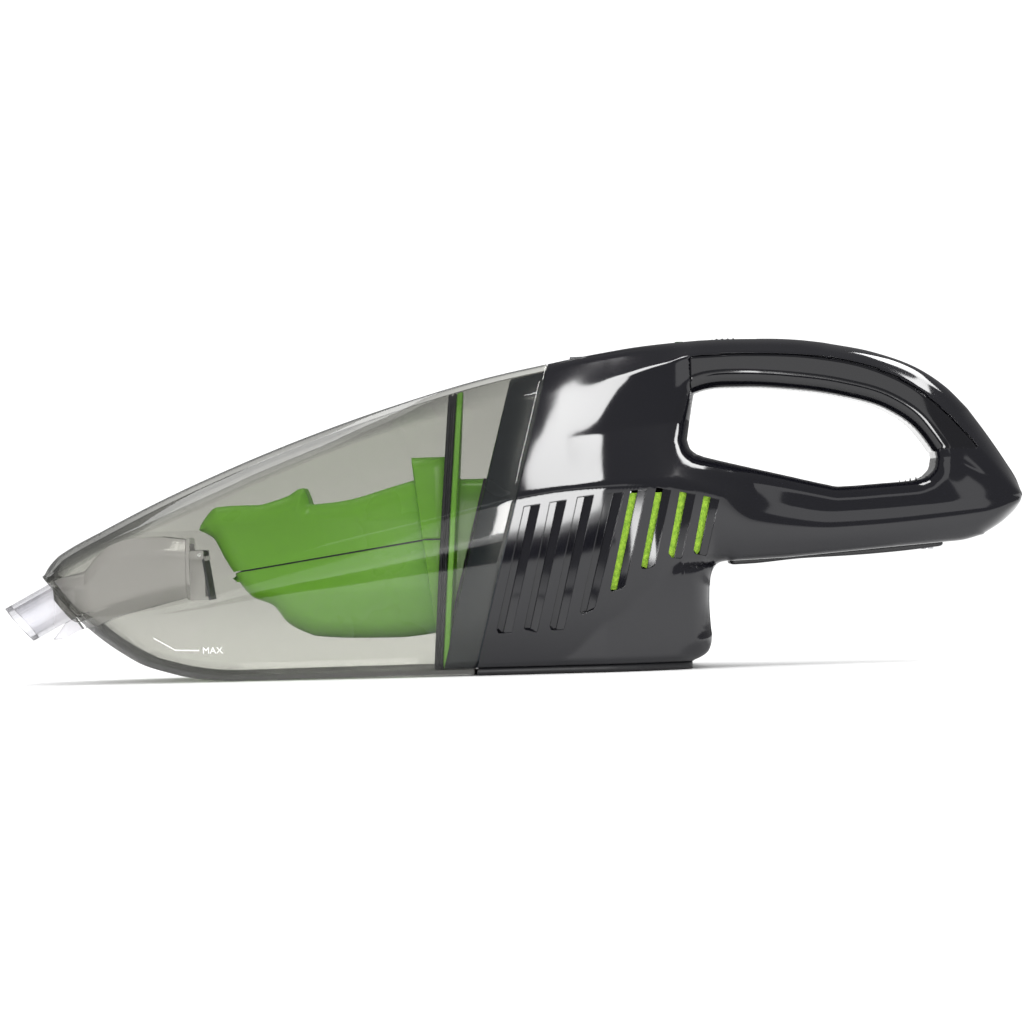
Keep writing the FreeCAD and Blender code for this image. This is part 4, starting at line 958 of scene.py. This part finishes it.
# ---------------------------------------------------------------- button, slider and lamp
# Satin controls along the crown: a ribbed power slider, the cup release and a green charge lamp.
def crowned_key(x0, x1, half, low, proud, ribs):
    """A key with rounded ends whose top follows the crown, with cross ribs pressed into it."""
    loops = []
    for x in np.linspace(x0, x1, 61):
        near = np.clip(1 - min(x - x0, x1 - x) / 1.4, 0, 1)
        in_by = 1.4 * (1 - math.sqrt(1 - near ** 2))
        rib = 0.35 * math.cos((x - x0) * 2 * math.pi / ribs) if 2.5 < x - x0 < x1 - x0 - 2.5 else 0
        high = float(crown_z(x)) + proud - in_by * 0.5 + rib
        loop = rounded_box_loop(half - in_by * 0.6, low, high, 1.2)
        loops.append(np.stack([np.full(len(loop), x), loop[:, 0], loop[:, 1]], -1))
    return capped(loops)


key_satin = plastic("key_satin", "#2A2A2F", 0.3, 0.45, 0.25, 0.3)
make_piece("power_slider_key", *crowned_key(78.6, 93.0, 4.6, 121.9, 0.0, 2.2), key_satin, "switch",
           "power_slider", "satin_black_abs", sharp=30)
lamp_skin = plastic("lamp_lens", "#2F5A2A", 0.08, 0.15, 0.02, 0.4, IOR=1.5)


# ---------------------------------------------------------------- fill mark
# White pad-printed fill line and the word MAX on the cup's left flank.
def on_cup(spots, lift=0.08):
    """Lays (x, z) spots on the cup's left flank."""
    half = []
    for x, z in spots:
        y, height = hull_ring(np.full(200, x), np.linspace(2, 5, 200))
        half.append(np.interp(-z, -height, y))
    return np.stack([spots[:, 0], -(np.array(half) + lift), spots[:, 1]], -1)


ink = plastic("white_ink", "#F4F4F2", 0.4, 0.5, 0.1, 0.2)
mark = np.array([(-142.8, 17.8), (-134.2, 12.8), (-124.8, 12.5)])
mark = np.concatenate([mark[0] + (mark[1] - mark[0]) * np.linspace(0, 1, 12)[:-1, None],
                       mark[1] + (mark[2] - mark[1]) * np.linspace(0, 1, 12)[:, None]])
strip = np.stack([on_cup(mark + (0, off)) for off in (-0.22, 0.22)])
make_piece("fill_line", strip.reshape(-1, 3), grid_faces(*strip.shape[:2]), ink, "cup", sharp=60)
letters = bpy.data.curves.new("fill_word", "FONT")
letters.body, letters.size = "MAX", 3.6
word = bpy.data.objects.new("fill_word_curve", letters)
bpy.context.scene.collection.objects.link(word)
bpy.context.view_layer.update()
flat_word = bpy.data.meshes.new_from_object(word)
bpy.data.objects.remove(word)
work = bmesh.new()
work.from_mesh(flat_word)
bmesh.ops.triangulate(work, faces=work.faces)
corners = np.array([v.co[:2] for v in work.verts])
tris = [[v.index for v in f.verts] for f in work.faces]
work.free()
corners = (corners - corners.min(0)) / (corners.max(0) - corners.min(0)) * (7.9, 2.5) + (-123.3, 11.2)
make_piece("fill_word", on_cup(corners), tris, ink, "cup", sharp=60, merge=0.001)


# ---------------------------------------------------------------- finishes of the parts inside
# Each CAD part that stays in view gets its own procedural finish by its material slot.
def metal(name, colour, low, high, streak_mm, stretch=(1, 1, 1), bands=0.0):
    """Bare metal: fine streaks along one way in roughness and bump; bands darken it in even steps."""
    made, tree, end = material(name)
    place = add(tree, "ShaderNodeTexCoord", out="Object")
    along = add(tree, "ShaderNodeMapping", {"Scale": stretch}, {"Vector": place}, out=0)
    streak = add(tree, "ShaderNodeTexNoise", {"Scale": 1000 / streak_mm, "Detail": 3.0}, {"Vector": along},
                 out=0)
    rough = add(tree, "ShaderNodeMapRange", {"To Min": low, "To Max": high}, {"Value": streak}, out=0)
    wave = add(tree, "ShaderNodeTexWave", {"Scale": bands or 1.0, "Distortion": 0.0}, {"Vector": place}, out=1)
    shade = add(tree, "ShaderNodeMix", {"data_type": "RGBA", 6: hex_colour(colour),
                                        7: hex_colour("#55565A" if bands else colour)}, {0: wave}, out=2)
    lift = add(tree, "ShaderNodeBump", {"Strength": 0.1, "Distance": 0.0001}, {"Height": streak}, out=0)
    shine = add(tree, "ShaderNodeBsdfPrincipled", {"Metallic": 1.0},
                {"Base Color": shade, "Roughness": rough, "Normal": lift}, out=0)
    tree.links.new(shine, end.inputs["Surface"])
    return made


finishes = {
    "smoked_clear": cup_skin, "clear_plastic": clear_skin, "gloss_black_abs": abs_gloss,
    "satin_black_abs": base_satin, "green_plastic": green, "green_foam": foam_skin,
    "black_nylon": plastic("black_nylon", "#1A1A1C", 0.4, 0.55, 0.3, 0.4),
    "black_rubber": seal_rubber,
    "flap_rubber": plastic("flap_rubber", "#55585E", 0.5, 0.65, 0.2, 0.3, dark="#484B50"),
    "filter_paper": plastic("filter_paper", "#E6E4DA", 0.8, 0.95, 0.6, 0.2, dark="#D8D5C8"),
    "plated_steel": metal("plated_steel", "#C9CACD", 0.18, 0.35, 0.4, (1, 1, 6)),
    "laminated_steel": metal("laminated_steel", "#9A9B9E", 0.35, 0.5, 0.3, (8, 1, 1), 320.0),
    "bronze": metal("bronze", "#A9793F", 0.3, 0.45, 0.4),
    "brass_bars": metal("brass_bars", "#B98B52", 0.25, 0.4, 0.3, (1, 6, 6)),
    "circuit_board": plastic("circuit_board", "#1F5A33", 0.25, 0.4, 0.2, 0.6, dark="#184A2A"),
    "cell_wrap": plastic("cell_wrap", "#2E6FA8", 0.2, 0.3, 0.05, 0.8, dark="#28629A"),
    "lead_insulation": plastic("lead_insulation", "#A3282B", 0.35, 0.45, 0.1, 0.4),
    "lamp_lens": lamp_skin,
    "white_nylon": plastic("white_nylon", "#E4E4DF", 0.4, 0.5, 0.2, 0.4),
}
for part in frame["record"]["subparts"]:
    coat(finishes[part["material_slot"]], part["node"])


# ---------------------------------------------------------------- floor and light
# A pale seamless floor under a white surround, with large soft boxes. Dark flags, hidden from the camera,
# give the gloss its black reflections.
floor_mesh = bpy.data.meshes.new("floor")
FLOOR_HALF = 30.0
floor_mesh.from_pydata([(-FLOOR_HALF, -FLOOR_HALF, -0.0002), (FLOOR_HALF, -FLOOR_HALF, -0.0002),
                        (FLOOR_HALF, FLOOR_HALF, -0.0002), (-FLOOR_HALF, FLOOR_HALF, -0.0002)],
                       [], [(0, 1, 2, 3)])
floor = bpy.data.objects.new("floor", floor_mesh)
bpy.context.scene.collection.objects.link(floor)
paint, tree, end = material("floor_paint")
shade = add(tree, "ShaderNodeBsdfDiffuse", {"Color": hex_colour("#F4F4F4")}, out=0)
tree.links.new(shade, end.inputs["Surface"])
floor_mesh.materials.append(paint)

# The surround is white, but mirror reflections see it dimmer, as in a room behind the lamps.
world = bpy.data.worlds.new("surround")
bpy.context.scene.world = world
world.use_nodes = True
tree = world.node_tree
tree.nodes.clear()
mirrored = add(tree, "ShaderNodeLightPath", out="Is Glossy Ray")
level = add(tree, "ShaderNodeMapRange", {"To Min": 1.25, "To Max": 0.3}, {"Value": mirrored}, out=0)
glow = add(tree, "ShaderNodeBackground", {"Color": (1, 1, 1, 1)}, {"Strength": level}, out=0)
end = add(tree, "ShaderNodeOutputWorld", links={"Surface": glow})


def soft_box(name, spot, target, size, radiance):
    """A rectangular lamp that faces its target, unseen by the camera. radiance is in multiples of white."""
    data = bpy.data.lights.new(name, "AREA")
    data.shape = "RECTANGLE"
    data.size, data.size_y = size
    data.energy = radiance * math.pi * size[0] * size[1]
    lamp = bpy.data.objects.new(name, data)
    bpy.context.scene.collection.objects.link(lamp)
    lamp.location = spot
    lamp.rotation_euler = (Vector(target) - Vector(spot)).to_track_quat("-Z", "Y").to_euler()
    lamp.visible_camera = False


def flag(name, corners):
    """A black card on a stand: it shows only in mirror reflections."""
    mesh = bpy.data.meshes.new(name)
    mesh.from_pydata(corners, [], [(0, 1, 2, 3)])
    mesh.materials.append(card_black)
    card = bpy.data.objects.new(name, mesh)
    bpy.context.scene.collection.objects.link(card)
    card.visible_camera = card.visible_diffuse = card.visible_shadow = card.visible_transmission = False


card_black, tree, end = material("card_black")
black = add(tree, "ShaderNodeBsdfDiffuse", {"Color": hex_colour("#0A0A0E")}, out=0)
tree.links.new(black, end.inputs["Surface"])
soft_box("overhead", (-0.045, -0.165, 1.28), (0.01, -0.04, 0.09), (0.22, 0.38), 15)
soft_box("top_left", (-0.5, 0.62, 1.05), (-0.1, 0, 0.09), (0.5, 0.14), 3)
soft_box("crest", (0.75, 0.5, 1.05), (0.15, 0, 0.1), (0.75, 0.2), 12)
soft_box("front_strip", (0.0, -0.95, 0.075), (0.0, 0, 0.075), (0.27, 0.15), 16)
soft_box("front_high", (0.05, -1.1, 0.55), (0.05, 0, 0.1), (1.3, 0.35), 1.1)
flag("floor_card", [(-0.35, -0.66, 0.001), (0.17, -0.66, 0.001), (0.17, -0.33, 0.001), (-0.35, -0.33, 0.001)])

settings = bpy.context.scene.view_settings
settings.view_transform = "Standard"
bpy.context.scene.cycles.transparent_max_bounces = 32
